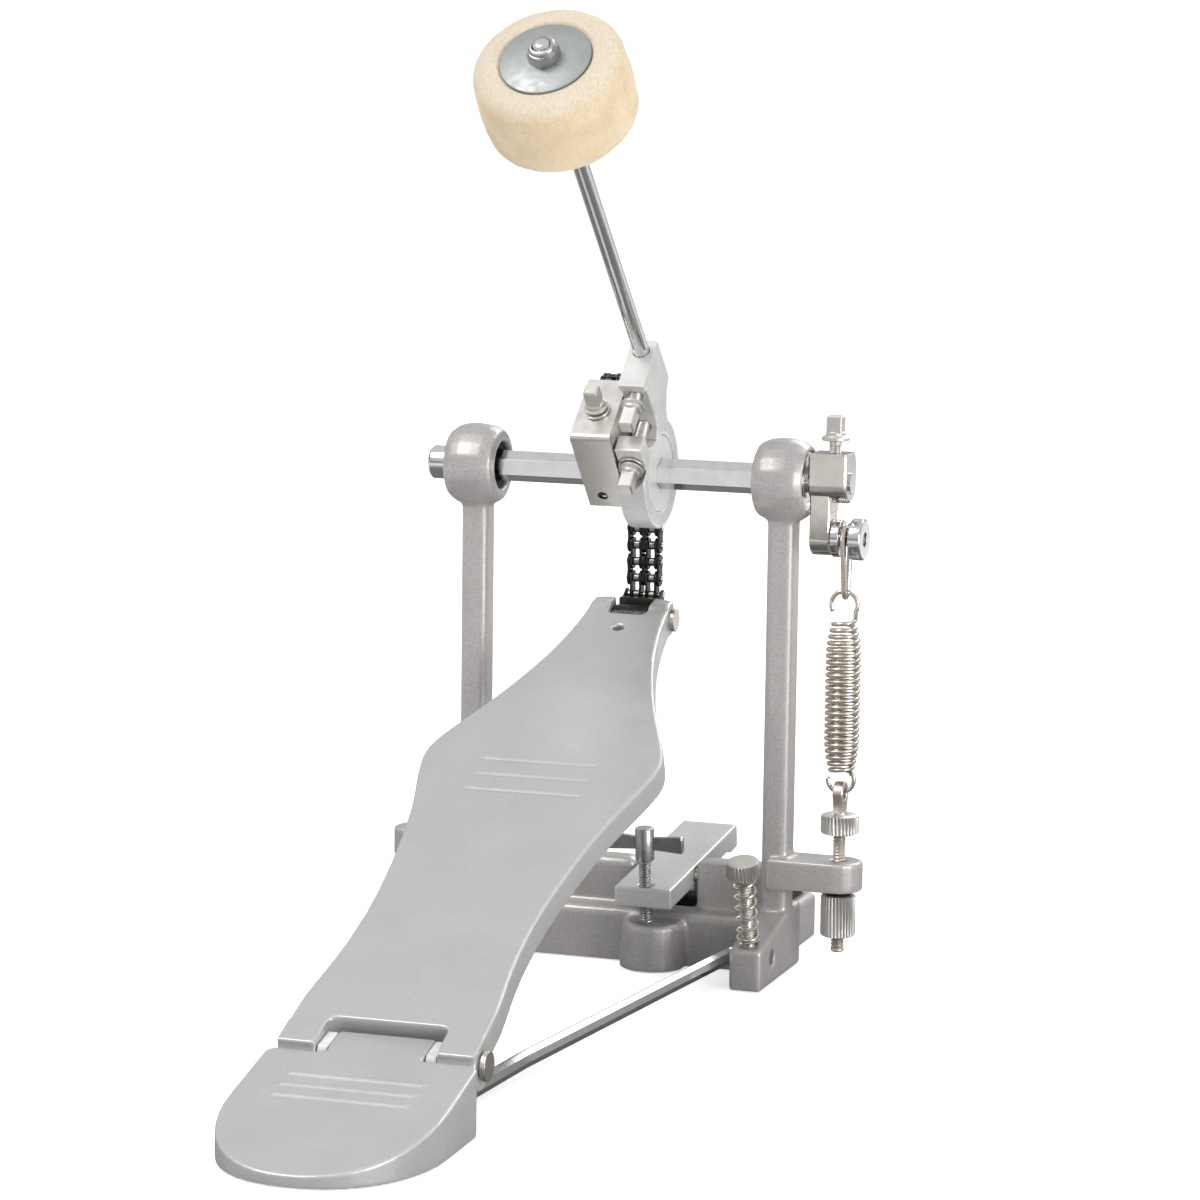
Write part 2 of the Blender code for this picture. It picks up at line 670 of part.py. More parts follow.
def toe_anchor():
    """Sleeve on the toe pin whose two cheeks reach back and hold the end of the chain."""
    centre = BOARD @ Vector((0, TOE_PIN[0] * MM, TOE_PIN[1] * MM)) / MM
    x, y, z = centre
    chain_y, chain_z = hanging_pivot(HANGING_LINKS)
    sleeve = rod("toe_anchor", (-7.1, *TOE_PIN), (7.1, *TOE_PIN), 4.75, BOARD)
    tongue = box("anchor_tongue", (x - 7, y + 1, z - 3.5), (x + 7, y + 9.5, z + 2.5), rounding=0.8)
    bridge_low, bridge_high = (CHAIN_X - 8, y + 8.6, z - 3.5), (CHAIN_X + 8, y + 11.2, z + 3.5)
    bridge = box("anchor_bridge", bridge_low, bridge_high, rounding=0.8)
    cheek = [(y + 8.2, z - 3.4), (chain_y + 1, chain_z - 2.5)]
    cheek += arc((chain_y, chain_z), 2.6, -60, 100, 6) + [(y + 8.2, z + 3.4)]
    spans = [sorted((CHAIN_X + side * 6.9, CHAIN_X + side * 8.1)) for side in (1, -1)]
    cheeks = [plate("anchor_cheek", cheek, *span, side_view(0, 0, 0)) for span in spans]
    pin_hole = rod("anchor_pin_hole", (-20, *TOE_PIN), (20, *TOE_PIN), 2.5 + FIT, BOARD)
    return finish(cut(fuse(sleeve, tongue, bridge, *cheeks), pin_hole), "black_steel", BOARD_AXIS)


# ---------------------------------------------------------------- shaft, cam and chain

def hex_hole(name, low, high):
    return plate(name, hexagon(HEX_FLATS + 2 * FIT), low, high, SHAFT_SIDE)


def drive_shaft():
    core = plate("drive_shaft", hexagon(HEX_FLATS), -HEX_HALF_LENGTH, HEX_HALF_LENGTH, SHAFT_SIDE)
    journal = rod("journal", (SHAFT_LEFT, 0, SHAFT_Z), (SHAFT_RIGHT, 0, SHAFT_Z), JOURNAL_R)
    return finish(fuse(core, journal), "chrome", SHAFT_AXIS)


def shaft_cap():
    bore = JOURNAL_R + FIT
    profile = [(bore, 3.5), (6.3, 3.5), (6.3, -2.5), (5.3, -3.5), (0, -3.5), (0, -1.2), (bore, -1.2)]
    cap = turned("shaft_cap", profile, across(-75.0, 0, SHAFT_Z), ring=True)
    return finish(cap, "chrome", SHAFT_AXIS)


def cam_bracket():
    """Bent sheet on the shaft: a top plate that holds the chain's end, a front plate and two side flanges."""
    left, right = BRACKET_X
    sheet, front, top = BRACKET_SHEET, BRACKET_FRONT, BRACKET_TOP
    back, bottom, fold = 15.8, -4.9, 2.0
    bent = [(front, bottom), (front + sheet, bottom), (front + sheet, top - sheet)]
    bent += [(back, top - sheet), (back, top)]
    bent += arc((front + fold, top - fold), fold, 90, 180, 4)
    body = plate("cam_bracket", bent, left, right, BRACKET_SIDE)
    inside = front + sheet + 0.8
    under = top - sheet + 0.4
    cheek = [(inside, under), (inside, 6), *arc((0, 0), 10.6, 170, 370, 10), (back - 1.6, under)]
    lows = (left + FIT, right - sheet - FIT)
    flanges = [plate("cam_flange", cheek, low, low + sheet, BRACKET_SIDE) for low in lows]
    u, x = CAM_SCREW_U, CAM_SCREW_X
    screw_hole = rod("cam_screw_hole", (u, 20, x), (u, 40, x), 2.5 + FIT, BRACKET_SIDE)
    spare_hole = rod("cam_spare_hole", (-20, 0.9, -7), (-5, 0.9, -7), 2.0, BRACKET_SIDE)
    hexagonal = hex_hole("cam_bracket_hex", left - 5, right + 5)
    fuse(body, *flanges)
    return finish(cut(body, screw_hole, spare_hole, hexagonal), "satin_nickel", SHAFT_AXIS)


def chain_cam():
    """Round-faced block under the chain, keyed on the hexagon."""
    face = CHAIN_RADIUS - CHAIN_PLATE_R - GAP
    outline = arc((0, 0), face, -8, 94, 16) + arc((0, 0), 9.5, 150, 290, 8)
    inset = BRACKET_SHEET + GAP
    body = plate("chain_cam", outline, BRACKET_X[0] + inset, BRACKET_X[1] - inset, SHAFT_SIDE)
    return finish(cut(body, hex_hole("chain_cam_hex", -20, 10)), "black_steel", SHAFT_AXIS)


def key_screw(name, frame, parent, length, flange_r, head, flats=5.2):
    """Screw for a drum key: a shank from z = -length, a flange that sits on z = 0, and a square head."""
    collar = [(0, 2.6), (3.4, 2.6), (3.9, 1.6), (flange_r, 1.5), (flange_r, 0)]
    body = turned(name, [*collar, (2.4, 0), (2.4, -length), (0, -length)], frame)
    low, high = (-flats / 2, -flats / 2, 1.0), (flats / 2, flats / 2, head)
    square = box(f"{name}_square", low, high, frame, rounding=0.5)
    return finish(fuse(body, square), "nickel", parent)


def on_bracket(v):
    """A frame on the bracket's top plate whose Z stands square to it."""
    at = Matrix.Translation(Vector((CAM_SCREW_U, v, CAM_SCREW_X)) * MM)
    return BRACKET_SIDE @ at @ Matrix.Rotation(-math.pi / 2, 4, "X")


def cam_screw():
    return key_screw("cam_screw", on_bracket(BRACKET_TOP + 1.5), SHAFT_AXIS, 9.0, 4.2, 10.2)


def cam_washer():
    washer = turned("cam_washer", ring_profile(2.4 + FIT, 5.0, 0.2, 1.2), on_bracket(BRACKET_TOP), ring=True)
    return finish(washer, "nickel", SHAFT_AXIS)


def link_angle():
    return math.degrees(2 * math.asin(CHAIN_PITCH / 2 / CHAIN_RADIUS))


def cam_pivot(index):
    """Chain pin on the cam, counted up from where the chain leaves it."""
    a = math.radians(link_angle() * index)
    return Vector((CHAIN_RADIUS * math.cos(a), SHAFT_Z + CHAIN_RADIUS * math.sin(a)))


def hanging_pivot(index):
    return Vector((CHAIN_RADIUS, SHAFT_Z - CHAIN_PITCH * index))


def link_outline(start, end, steps):
    """Side view of a link plate between two pins."""
    turn = math.degrees(math.atan2(end.y - start.y, end.x - start.x))
    far = arc(end, CHAIN_PLATE_R, turn - 90, turn + 90, steps)
    return far + arc(start, CHAIN_PLATE_R, turn + 90, turn + 270, steps)


def link_solid(name, start, end, outer, bores):
    """One chain link between two pins: outer plates with their pins, or inner plates with their bushes."""
    frame = side_view(CHAIN_X, 0, 0)
    outline = link_outline(start, end, 5)
    spans = OUTER_PLATES if outer else INNER_PLATES + MIDDLE_PLATES
    plates = merged(f"{name}_plates", [plate("link_plate", outline, *span, frame) for span in spans])
    half, radius = (PIN_HALF, PIN_R) if outer else (BUSH_HALF, BUSH_R)
    pins = [rod("link_pin", (*p, -half), (*p, half), radius, frame, sides=12) for p in (start, end)]
    link = fuse(merged(name, pins), plates)
    if bores:
        holes = [rod("bush_hole", (*p, -9), (*p, 9), PIN_R + FIT, frame, sides=12) for p in (start, end)]
        cut(link, merged(f"{name}_bores", holes))
    return link


def chain_piece(name, pivots, first_outer):
    """A stiff length of chain as one solid."""
    frame = side_view(CHAIN_X, 0, 0)
    last_outer = first_outer if len(pivots) % 2 == 0 else not first_outer
    pins = []
    for index, p in enumerate(pivots):
        half, radius = 6.3, BUSH_R
        if index in (0, len(pivots) - 1):
            outer_end = first_outer if index == 0 else last_outer
            half, radius = (PIN_HALF, PIN_R) if outer_end else (BUSH_HALF, BUSH_R)
        pins.append(rod("link_pin", (*p, -half), (*p, half), radius, frame, sides=10))
    plates = []
    for index, (start, end) in enumerate(zip(pivots, pivots[1:])):
        spans = OUTER_PLATES if first_outer == (index % 2 == 0) else INNER_PLATES
        plates += [plate("link_plate", link_outline(start, end, 4), *span, frame) for span in spans]
    return fuse(merged(name, pins), merged(f"{name}_plates", plates))


def chain():
    """Wrapped length on the cam, loose links that leave it, then the hanging length."""
    wrapped = [cam_pivot(i) for i in range(LOOSE_LINKS + WRAPPED_LINKS, LOOSE_LINKS - 1, -1)]
    finish(chain_piece("chain_wrap", wrapped, first_outer=False), "black_steel", SHAFT_AXIS)
    parent = SHAFT_AXIS
    for number in range(LOOSE_LINKS):
        start, end = cam_pivot(LOOSE_LINKS - number), cam_pivot(LOOSE_LINKS - number - 1)
        parent = joint(f"chain_axis_{number + 1}", (CHAIN_X, *start), parent)
        outer = number % 2 == 1
        link = link_solid(f"chain_link_{number + 1}", start, end, outer, bores=not outer)
        finish(link, "black_steel", parent)
    parent = joint("chain_axis_run", (CHAIN_X, *hanging_pivot(0)), parent)
    hanging = [hanging_pivot(i) for i in range(HANGING_LINKS + 1)]
    finish(chain_piece("chain_run", hanging, first_outer=True), "black_steel", parent)


# ---------------------------------------------------------------- beater

def beater_hub():
    """Split clamp on the round insert, with a block beside it that holds the rod."""
    left, right = HUB_X
    outline = [
        (8, 37.4), (8, 40.5), (30.2, 40.5), (30.2, 19.8), (24.5, 17.6), (20.6, 13.6), (18.6, 8.8),
        *arc((0, 0), 20.5, 20, -180, 28), *arc((0, 0), 20.5, 168, 122, 4),
        (-10.5, 26), (-3.4, 26), (-3.4, 19), (1.6, 14.2), (1.6, 8), (4.9, 8), (4.9, 13.6), (8, 16),
        (9.6, 22), (9.6, 37.4),
    ]
    outline.reverse()
    body = plate("beater_hub", outline, left, right, BEATER_SIDE)
    bore = rod("hub_bore", (0, 0, 0), (0, 0, 20), HUB_BORE_R, BEATER_SIDE, sides=40)
    x = BEATER_X
    rod_hole = rod("hub_rod_hole", (ROD_N, 10, x), (ROD_N, 50, x), ROD_R + FIT, BEATER_SIDE)
    lock_hole = rod("hub_lock_hole", (0, LOCK_SCREW_T, x), (ROD_N, LOCK_SCREW_T, x), 2.4 + FIT, BEATER_SIDE)
    through_slit = (-20, CLAMP_SCREW_T, x), (17, CLAMP_SCREW_T, x)
    clamp_hole = rod("hub_clamp_hole", *through_slit, 2.4 + FIT, BEATER_SIDE)
    seat = rod("hub_washer_seat", (-30, CLAMP_SCREW_T, x), (-10.5, CLAMP_SCREW_T, x), 5.6, BEATER_SIDE)
    return finish(cut(body, bore, rod_hole, lock_hole, clamp_hole, seat), "cast_aluminium", BEATER_AXIS)


def hub_insert():
    """Round disc on the hexagon: the hub is clamped on it at any angle."""
    left, right = HUB_X
    disc = rod("hub_insert", (0, 0, left + 0.4), (0, 0, right - 0.2), HUB_BORE_R - FIT, BEATER_SIDE, sides=40)
    return finish(cut(disc, hex_hole("hub_insert_hex", 0, 20)), "cast_aluminium", SHAFT_AXIS)


def head_towards_drummer(n, t):
    """A frame for a screw along n whose head faces the drummer; z = 0 is at n."""
    place = BEATER_SIDE @ Matrix.Translation(Vector((n, t, BEATER_X)) * MM)
    return place @ Matrix.Rotation(-math.pi / 2, 4, "Y")


def hub_screws():
    key_screw("rod_lock_screw", head_towards_drummer(5.4, LOCK_SCREW_T), BEATER_AXIS, 16.2, 4.5, 11.2)
    key_screw("hub_clamp_screw", head_towards_drummer(-12.0, CLAMP_SCREW_T), BEATER_AXIS, 26.5, 4.6, 10.2)
    seat = head_towards_drummer(-10.5, CLAMP_SCREW_T)
    washer = turned("hub_clamp_washer", ring_profile(2.4 + FIT, 5.1, 0.2, 1.2), seat, ring=True)
    finish(washer, "nickel", BEATER_AXIS)


ALONG_ROD = Matrix.Rotation(-math.pi / 2, 4, "X")
BEATER = BEATER_SIDE @ Matrix.Translation(Vector((ROD_N, 0, BEATER_X)) * MM) @ ALONG_ROD


def beater_parts():
    """Rod through the hub, and the felt held on its threaded end between two washers."""
    empty = joint("beater_height_axis", BEATER @ Vector((0, 0, 0)) / MM, BEATER_AXIS)
    finish(rod("beater_rod", (0, 0, 19.6), (0, 0, 201), ROD_R, BEATER), "chrome", empty)
    low, high = FELT_T
    corner = [(4.4, 0), (2.7, 0.3), (1.0, 1.4), (0.2, 2.7), (0, 4.2)]  # in from the side, in from the end
    upper = [(FELT_R - side, high - end) for side, end in corner]
    lower = [(FELT_R - side, low + end) for side, end in reversed(corner)]
    felt = [*upper, *lower, (ROD_R + GAP, low), (ROD_R + GAP, high)]
    finish(turned("beater_felt", felt, BEATER, ring=True, sides=40), "felt", empty)
    front = ring_profile(ROD_R + FIT, 16.1, high + GAP, high + 1.6)
    back = ring_profile(ROD_R + FIT, 11.0, low - 1.8, low - GAP)
    finish(turned("felt_washer_front", front, BEATER, ring=True), "nickel", empty)
    finish(turned("felt_washer_back", back, BEATER, ring=True), "nickel", empty)
    nut = plate("beater_nut", hexagon(10), high + 1.9, high + 6.4, BEATER)
    finish(cut(nut, rod("nut_hole", (0, 0, high), (0, 0, high + 9), ROD_R + FIT, BEATER)), "nickel", empty)


# ---------------------------------------------------------------- rocker and tension spring

def rocker_lever():
    """Clamp block on the shaft's end with an arm that the spring pulls down."""
    frame = SHAFT_SIDE
    drop = ROCKER_Z - SHAFT_Z
    block = plate("rocker_lever", arc((0, 0), 7.4, 180, 360) + [(7.4, 11), (-7.4, 11)], 70.8, 88, frame)
    arm = plate("rocker_arm", arc((0, drop), 6.5, 180, 360) + [(6.5, 0), (-6.5, 0)], 71.3, 79, frame)
    rounded(block, 1.0)
    rounded(arm, 0.8)
    holes = [
        rod("rocker_bore", (0, 0, 68), (0, 0, 90), JOURNAL_R + FIT, frame),
        rod("rocker_screw_hole", (0, drop, 68), (0, drop, 82), 2.0 + FIT, frame),
        rod("rocker_key_hole", (0, 2, 79), (0, 14, 79), 2.4 + FIT, frame),
    ]
    return finish(cut(fuse(block, arm), *holes), "chrome", SHAFT_AXIS)


def rocker_key_screw():
    frame = axes_at((79, 0, SHAFT_Z + 11 + GAP), X_AXIS, Y_AXIS)
    return key_screw("rocker_key_screw", frame, SHAFT_AXIS, 6.0, 4.6, 13.4)


def rocker_roller():
    empty = joint("roller_axis", (SPRING_X, 0, ROCKER_Z), SHAFT_AXIS)
    profile = [(7.0, 3.0), (7.0, 0.0), (2.7, -0.4), (2.7, -3.2), (2.0 + FIT, -3.2), (2.0 + FIT, 3.0)]
    profile = [(r, -z) for r, z in reversed(profile)]
    roller = turned("rocker_roller", profile, across(82.4, 0, ROCKER_Z), ring=True)
    return finish(roller, "chrome", empty)


def rocker_cap_screw():
    head = rod("rocker_cap_screw", (86.0, 0, ROCKER_Z), (91.0, 0, ROCKER_Z), 7.75)
    rounded(head, 0.8)
    shank = rod("cap_shank", (71.6, 0, ROCKER_Z), (87, 0, ROCKER_Z), 2.0)
    socket = plate("cap_socket", hexagon(5), 88.5, 92, side_view(0, 0, ROCKER_Z))
    return finish(cut(fuse(head, shank), socket), "chrome", SHAFT_AXIS)


SPRING_FRAME = Matrix.Translation(Vector((SPRING_X, 0, 0)) * MM)


def spring_link():
    """Wire loop that hangs on the roller and holds the spring's upper hook."""
    frame = side_view(SPRING_X + 0.4, 0, 0)
    loop = arc((0, 163.2), 5.4, 0, 180, 10) + arc((0, 144.6), 2.6, 180, 360, 8)
    empty = joint("spring_link_axis", (SPRING_X, 0, HOOK_Z), HOOK_AXIS)
    return finish(wire("spring_link", loop, 1.1, frame, closed=True), "chrome", empty)


def tension_spring():
    """Close-wound spring as a tube with narrower ends, and a hook at each end."""
    low, high = SPRING_Z
    wall, narrow, shoulder = 1.2, 4.7, 5.9
    outer = [(narrow, high), (shoulder, high - 6), (SPRING_R, high - 11)]
    outer += [(SPRING_R, low + 11), (shoulder, low + 6), (narrow, low)]
    inner = [(r - wall, z) for r, z in reversed(outer)]
    tube = turned("tension_spring", outer + inner, SPRING_FRAME, ring=True, sides=20)
    top_arc = arc((0, high + 6.5), HOOK_R, -40, 205, 12)
    low_arc = arc((0, HOOK_Z + HOOK_R), HOOK_R, 10, -180, 12)
    top_hook = [(4.0, 0, high - 1.5), (4.3, 0, high + 1)] + [(x, 0, z) for x, z in top_arc]
    low_hook = [(4.0, 0, low + 1.5)] + [(x, 0, z) for x, z in low_arc]
    hooks = [wire("spring_hook", path, HOOK_WIRE_R, SPRING_FRAME) for path in (top_hook, low_hook)]
    return finish(fuse(tube, *hooks), "nickel", HOOK_AXIS)


def tension_rod():
    """Threaded rod through the arm, flattened at the top into an eye."""
    eye_z = HOOK_Z - 0.4
    shank = rod("tension_rod", (0, 0, 9), (0, 0, 62.6), TENSION_ROD_R, SPRING_FRAME)
    outline = arc((0, eye_z), 4.6, 0, 180, 8) + [(-2.4, 61.5), (2.4, 61.5)]
    eye = plate("rod_eye", outline, -1.9, 1.9, side_view(SPRING_X, 0, 0))
    eye_hole = rod("rod_eye_hole", (-9, 0, eye_z), (9, 0, eye_z), 2.2, SPRING_FRAME)
    return finish(cut(fuse(shank, eye), eye_hole), "nickel")


def knurled_nut(name, low, high, radius):
    bore, edge = TENSION_ROD_R + FIT, 0.8
    rim = [(radius - edge, high), (radius, high - edge), (radius, low + edge), (radius - edge, low)]
    nut = turned(name, [(bore, high), *rim, (bore, low)], SPRING_FRAME, ring=True, sides=32)
    return finish(nut, "nickel")


def lock_washer():
    profile = ring_profile(TENSION_ROD_R + FIT, 5.0, 31.0, 31.9)
    return finish(turned("lock_washer", profile, SPRING_FRAME, ring=True), "black_steel")


frame_casting()
hoop_pad()
for label, direction in (("left", -1), ("right", 1)):
    bearing(f"shaft_bearing_{label}", direction)
    seal(f"shaft_seal_{label}", direction)
    spur_screw(f"spur_screw_{label}", direction)
    spur_spring(f"spur_spring_{label}", direction)
    heel_washer(f"heel_washer_{label}", direction)
clamp_plate()
wing_bolt()
clamp_pin()
radius_rod()
heel_plate()
heel_pin()
footboard()
toe_pin()
toe_anchor()
drive_shaft()
shaft_cap()
cam_bracket()
chain_cam()
cam_screw()
cam_washer()
chain()
beater_hub()
hub_insert()
hub_screws()
beater_parts()
rocker_lever()
rocker_key_screw()
rocker_roller()
rocker_cap_screw()
spring_link()
tension_spring()
tension_rod()
knurled_nut("upper_knurled_nut", *UPPER_NUT)
knurled_nut("lower_knurled_nut", *LOWER_NUT)
lock_washer()
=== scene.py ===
"""Looks for the bass drum pedal: detailed pieces, materials, studio light and a camera around the CAD frame.

Lengths are millimetres where a name or a table says so, and MM turns them into Blender's metres.
"""

import json
import math

import bmesh
import bpy
from mathutils import Matrix, Vector, noise


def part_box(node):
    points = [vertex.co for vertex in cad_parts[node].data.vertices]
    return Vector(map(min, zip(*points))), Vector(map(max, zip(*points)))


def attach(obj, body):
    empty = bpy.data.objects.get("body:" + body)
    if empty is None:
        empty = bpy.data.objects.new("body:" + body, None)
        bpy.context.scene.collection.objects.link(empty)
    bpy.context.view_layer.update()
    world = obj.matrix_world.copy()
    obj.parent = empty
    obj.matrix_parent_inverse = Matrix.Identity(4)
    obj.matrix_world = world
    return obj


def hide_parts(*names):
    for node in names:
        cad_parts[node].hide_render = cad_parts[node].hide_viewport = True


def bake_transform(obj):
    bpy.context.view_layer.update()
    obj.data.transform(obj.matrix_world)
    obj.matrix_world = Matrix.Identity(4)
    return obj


MM = 0.001
WELD = 0.000005
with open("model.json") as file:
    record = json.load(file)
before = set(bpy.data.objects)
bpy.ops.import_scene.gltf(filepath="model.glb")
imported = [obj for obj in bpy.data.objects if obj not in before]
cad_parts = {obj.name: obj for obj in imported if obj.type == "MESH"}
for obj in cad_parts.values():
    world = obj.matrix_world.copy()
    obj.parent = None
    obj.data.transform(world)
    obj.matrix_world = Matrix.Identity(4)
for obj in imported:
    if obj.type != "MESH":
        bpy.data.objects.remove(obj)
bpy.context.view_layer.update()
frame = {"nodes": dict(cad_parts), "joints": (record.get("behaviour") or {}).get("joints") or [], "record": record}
NODES = frame["nodes"]
JOINTS = {j["name"]: j for j in frame["joints"]}
BODY_OF = {n: body for body, names in frame["record"]["behaviour"]["bodies"].items() for n in names}
SLOT_OF = {s["node"]: s["material_slot"] for s in frame["record"]["subparts"]}


# ---------------------------------------------------------------- places, read from the frame

def local_frame(origin, first, second):
    """World matrix of a local frame: origin in metres, its X and Y as world directions."""
    first, second = Vector(first).normalized(), Vector(second).normalized()
    matrix = Matrix((first, second, first.cross(second))).transposed().to_4x4()
    matrix.translation = Vector(origin)
    return matrix


def centre(node):
    low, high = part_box(node)
    return (low + high) / 2


def span(node, place):
    """The lowest and highest points of a CAD node along a frame's Z, in mm."""
    inverse = place.inverted()
    heights = [(inverse @ v.co).z / MM for v in NODES[node].data.vertices]
    return min(heights), max(heights)


def joint_at(name):
    return Vector(JOINTS[name]["pos_m"])


def joint_axis(name):
    return Vector(JOINTS[name]["axis"]).normalized()


X_AXIS, Y_AXIS, Z_AXIS = Vector((1, 0, 0)), Vector((0, 1, 0)), Vector((0, 0, 1))
SHAFT = joint_at("shaft_turn")
ROD_UP = joint_axis("beater_height")
ROD_BACK = Vector((0, ROD_UP.z, -ROD_UP.y))  # square to the rod, towards the drum
BEATER_AXIS = local_frame(centre("beater_rod"), X_AXIS, ROD_BACK)
HEEL = joint_at("board_hinge")
TOE = centre("toe_pin")
HINGE_LINE = -joint_axis("board_hinge")
ALONG_BOARD = (TOE - HEEL - HINGE_LINE * (TOE - HEEL).dot(HINGE_LINE)).normalized()
BOARD = local_frame(HEEL, HINGE_LINE, ALONG_BOARD)
SPRING = centre("tension_spring")


def upright(x, y, z=0.0):
    return Matrix.Translation((x, y, z))


def sideways(x, y, z):
    """A frame whose Z is world +X, whose X is +Y and whose Y is +Z."""
    return local_frame((x, y, z), Y_AXIS, Z_AXIS)


# ---------------------------------------------------------------- node materials

class Nodes:
    """A short way to add nodes to a material."""

    def __init__(self, name):
        self.material = bpy.data.materials.new(name)
        self.material.use_nodes = True
        self.tree = self.material.node_tree
        self.shader = self.tree.nodes["Principled BSDF"]
        self.place = self.add("ShaderNodeTexCoord").outputs["Object"]

    def add(self, kind, **settings):
        node = self.tree.nodes.new(kind)
        for key, value in settings.items():
            if key in node.inputs:
                node.inputs[key].default_value = value
            else:
                setattr(node, key, value)
        return node

    def link(self, output, target):
        self.tree.links.new(output, target)

    def noise(self, size_mm, detail=4.0, stretch=None):
        """Noise whose features are about size_mm across."""
        node = self.add("ShaderNodeTexNoise", Scale=1 / (size_mm * MM), Detail=detail)
        place = self.place
        if stretch:
            mapping = self.add("ShaderNodeMapping")
            mapping.inputs["Scale"].default_value = stretch
            self.link(place, mapping.inputs["Vector"])
            place = mapping.outputs["Vector"]
        self.link(place, node.inputs["Vector"])
        return node.outputs["Fac"]

    def flakes(self, size_mm):
        """A random value in each small cell."""
        node = self.add("ShaderNodeTexVoronoi", Scale=1 / (size_mm * MM))
        self.link(self.place, node.inputs["Vector"])
        split = self.add("ShaderNodeSeparateColor")
        self.link(node.outputs["Color"], split.inputs["Color"])
        return split.outputs["Red"]

    def spread(self, value, low, high, start=0.3, end=0.7):
        """The value's middle range mapped to low..high."""
        node = self.add("ShaderNodeMapRange")
        self.link(value, node.inputs["Value"])
        node.inputs["From Min"].default_value = start
        node.inputs["From Max"].default_value = end
        node.inputs["To Min"].default_value = low
        node.inputs["To Max"].default_value = high
        return node.outputs["Result"]

    def mix(self, amount, first, second):
        """A colour between two colours."""
        node = self.add("ShaderNodeMix", data_type="RGBA")
        self.link(amount, node.inputs["Factor"])
        for value, target in ((first, node.inputs["A"]), (second, node.inputs["B"])):
            if isinstance(value, tuple):
                target.default_value = (*value, 1)
            else:
                self.link(value, target)
        return node.outputs["Result"]

    def bump(self, height, strength, distance_mm, under=None):
        node = self.add("ShaderNodeBump", Strength=strength, Distance=distance_mm * MM)
        self.link(height, node.inputs["Height"])
        if under:
            self.link(under, node.inputs["Normal"])
        return node.outputs["Normal"]

    def edges(self, start=0.505, end=0.56):
        """1 on convex edges, 0 elsewhere."""
        geometry = self.add("ShaderNodeNewGeometry")
        return self.spread(geometry.outputs["Pointiness"], 0, 1, start, end)

    def finish(self, colour=None, metallic=None, roughness=None, normal=None, **other):
        inputs = {"Base Color": colour, "Metallic": metallic, "Roughness": roughness, "Normal": normal}
        for name, value in inputs.items():
            if isinstance(value, (int, float)):
                self.shader.inputs[name].default_value = value
            elif value is not None:
                self.link(value, self.shader.inputs[name])
        for name, value in other.items():
            self.shader.inputs[name.replace("_", " ")].default_value = value
        return self.material


def scaled(colour, factor):
    return tuple(min(1.0, c * factor) for c in colour)


def cast_paint(name, colour, flake=0.4, contrast=0.16):
    """Silver casting paint: fine flakes, a faint orange-peel surface, and a painted highlight that makes its edges
    slightly brighter.
    """
    n = Nodes(name)
    dark, bright = scaled(colour, 1 - contrast), scaled(colour, 1 + contrast * 0.7)
    speck = n.mix(n.spread(n.flakes(flake), 0, 1, 0, 1), dark, bright)
    cloud = n.mix(n.spread(n.noise(22), 0, 0.2), speck, scaled(colour, 0.7))
    # painted highlight: convex edges are mixed towards a brighter copy of the paint colour
    lit = n.mix(n.edges(0.51, 0.6), cloud, scaled(colour, 1.25))
    peel = n.bump(n.noise(1.3, 3), 0.2, 0.05)
    grain = n.bump(n.flakes(flake), 0.12, 0.03, peel)
    return n.finish(lit, 0.5, n.spread(n.noise(6), 0.32, 0.44), grain, Specular_IOR_Level=0.5)


def plated(name, colour, rough, smear=5.0, scratch=0.05, metallic=1.0):
    """Plated metal: soft smears in its gloss, hair-fine scratches, a little tint from place to place, and painted
    shade in its hollows.
    """
    n = Nodes(name)
    tint = n.mix(n.spread(n.noise(smear), 0, 1), scaled(colour, 0.93), scaled(colour, 1.04))
    # painted shade: hollows are darkened towards half the colour
    crevice_shade = n.mix(n.edges(0.3, 0.46), scaled(colour, 0.5), tint)
    marks = n.noise(0.7, 6, (1, 1, 6))
    gloss = n.spread(n.noise(smear * 0.6), rough * 0.85, rough * 1.2)
    return n.finish(crevice_shade, metallic, gloss, n.bump(marks, scratch, 0.002))


def satin_casting(name, colour):
    """Satin cast aluminium with a fine tumbled grain and a painted highlight on its edges."""
    n = Nodes(name)
    tint = n.mix(n.spread(n.noise(9), 0, 1), scaled(colour, 0.9), scaled(colour, 1.05))
    # painted highlight: convex edges are mixed towards a brighter copy of the colour
    edge_highlight = n.mix(n.edges(0.51, 0.58), tint, scaled(colour, 1.25))
    grain = n.bump(n.noise(0.35, 2), 0.14, 0.03, n.bump(n.noise(2.5), 0.08, 0.06))
    return n.finish(edge_highlight, 0.5, n.spread(n.noise(3), 0.42, 0.55), grain)


def brushed(name, colour):
    """Bent sheet with a brushed, plated face."""
    n = Nodes(name)
    lines = n.noise(0.8, 8, (14, 1, 1))
    tint = n.mix(n.spread(lines, 0, 1), scaled(colour, 0.9), scaled(colour, 1.06))
    return n.finish(tint, 1.0, n.spread(n.noise(4), 0.26, 0.4), n.bump(lines, 0.08, 0.03))


def blackened(name, colour, metallic=0.85, rough=0.32):
    """Oiled black steel, with a painted highlight that makes its edges brighter."""
    n = Nodes(name)
    oil = n.mix(n.spread(n.noise(1.6), 0, 1), colour, scaled(colour, 2.2))
    # painted highlight: convex edges are mixed towards a lighter grey
    edge_highlight = n.mix(n.edges(0.56, 0.75), oil, (0.12, 0.11, 0.1))
    gloss = n.spread(n.noise(1.1), rough * 0.7, rough * 1.4)
    return n.finish(edge_highlight, metallic, gloss, n.bump(n.noise(0.6), 0.1, 0.04))


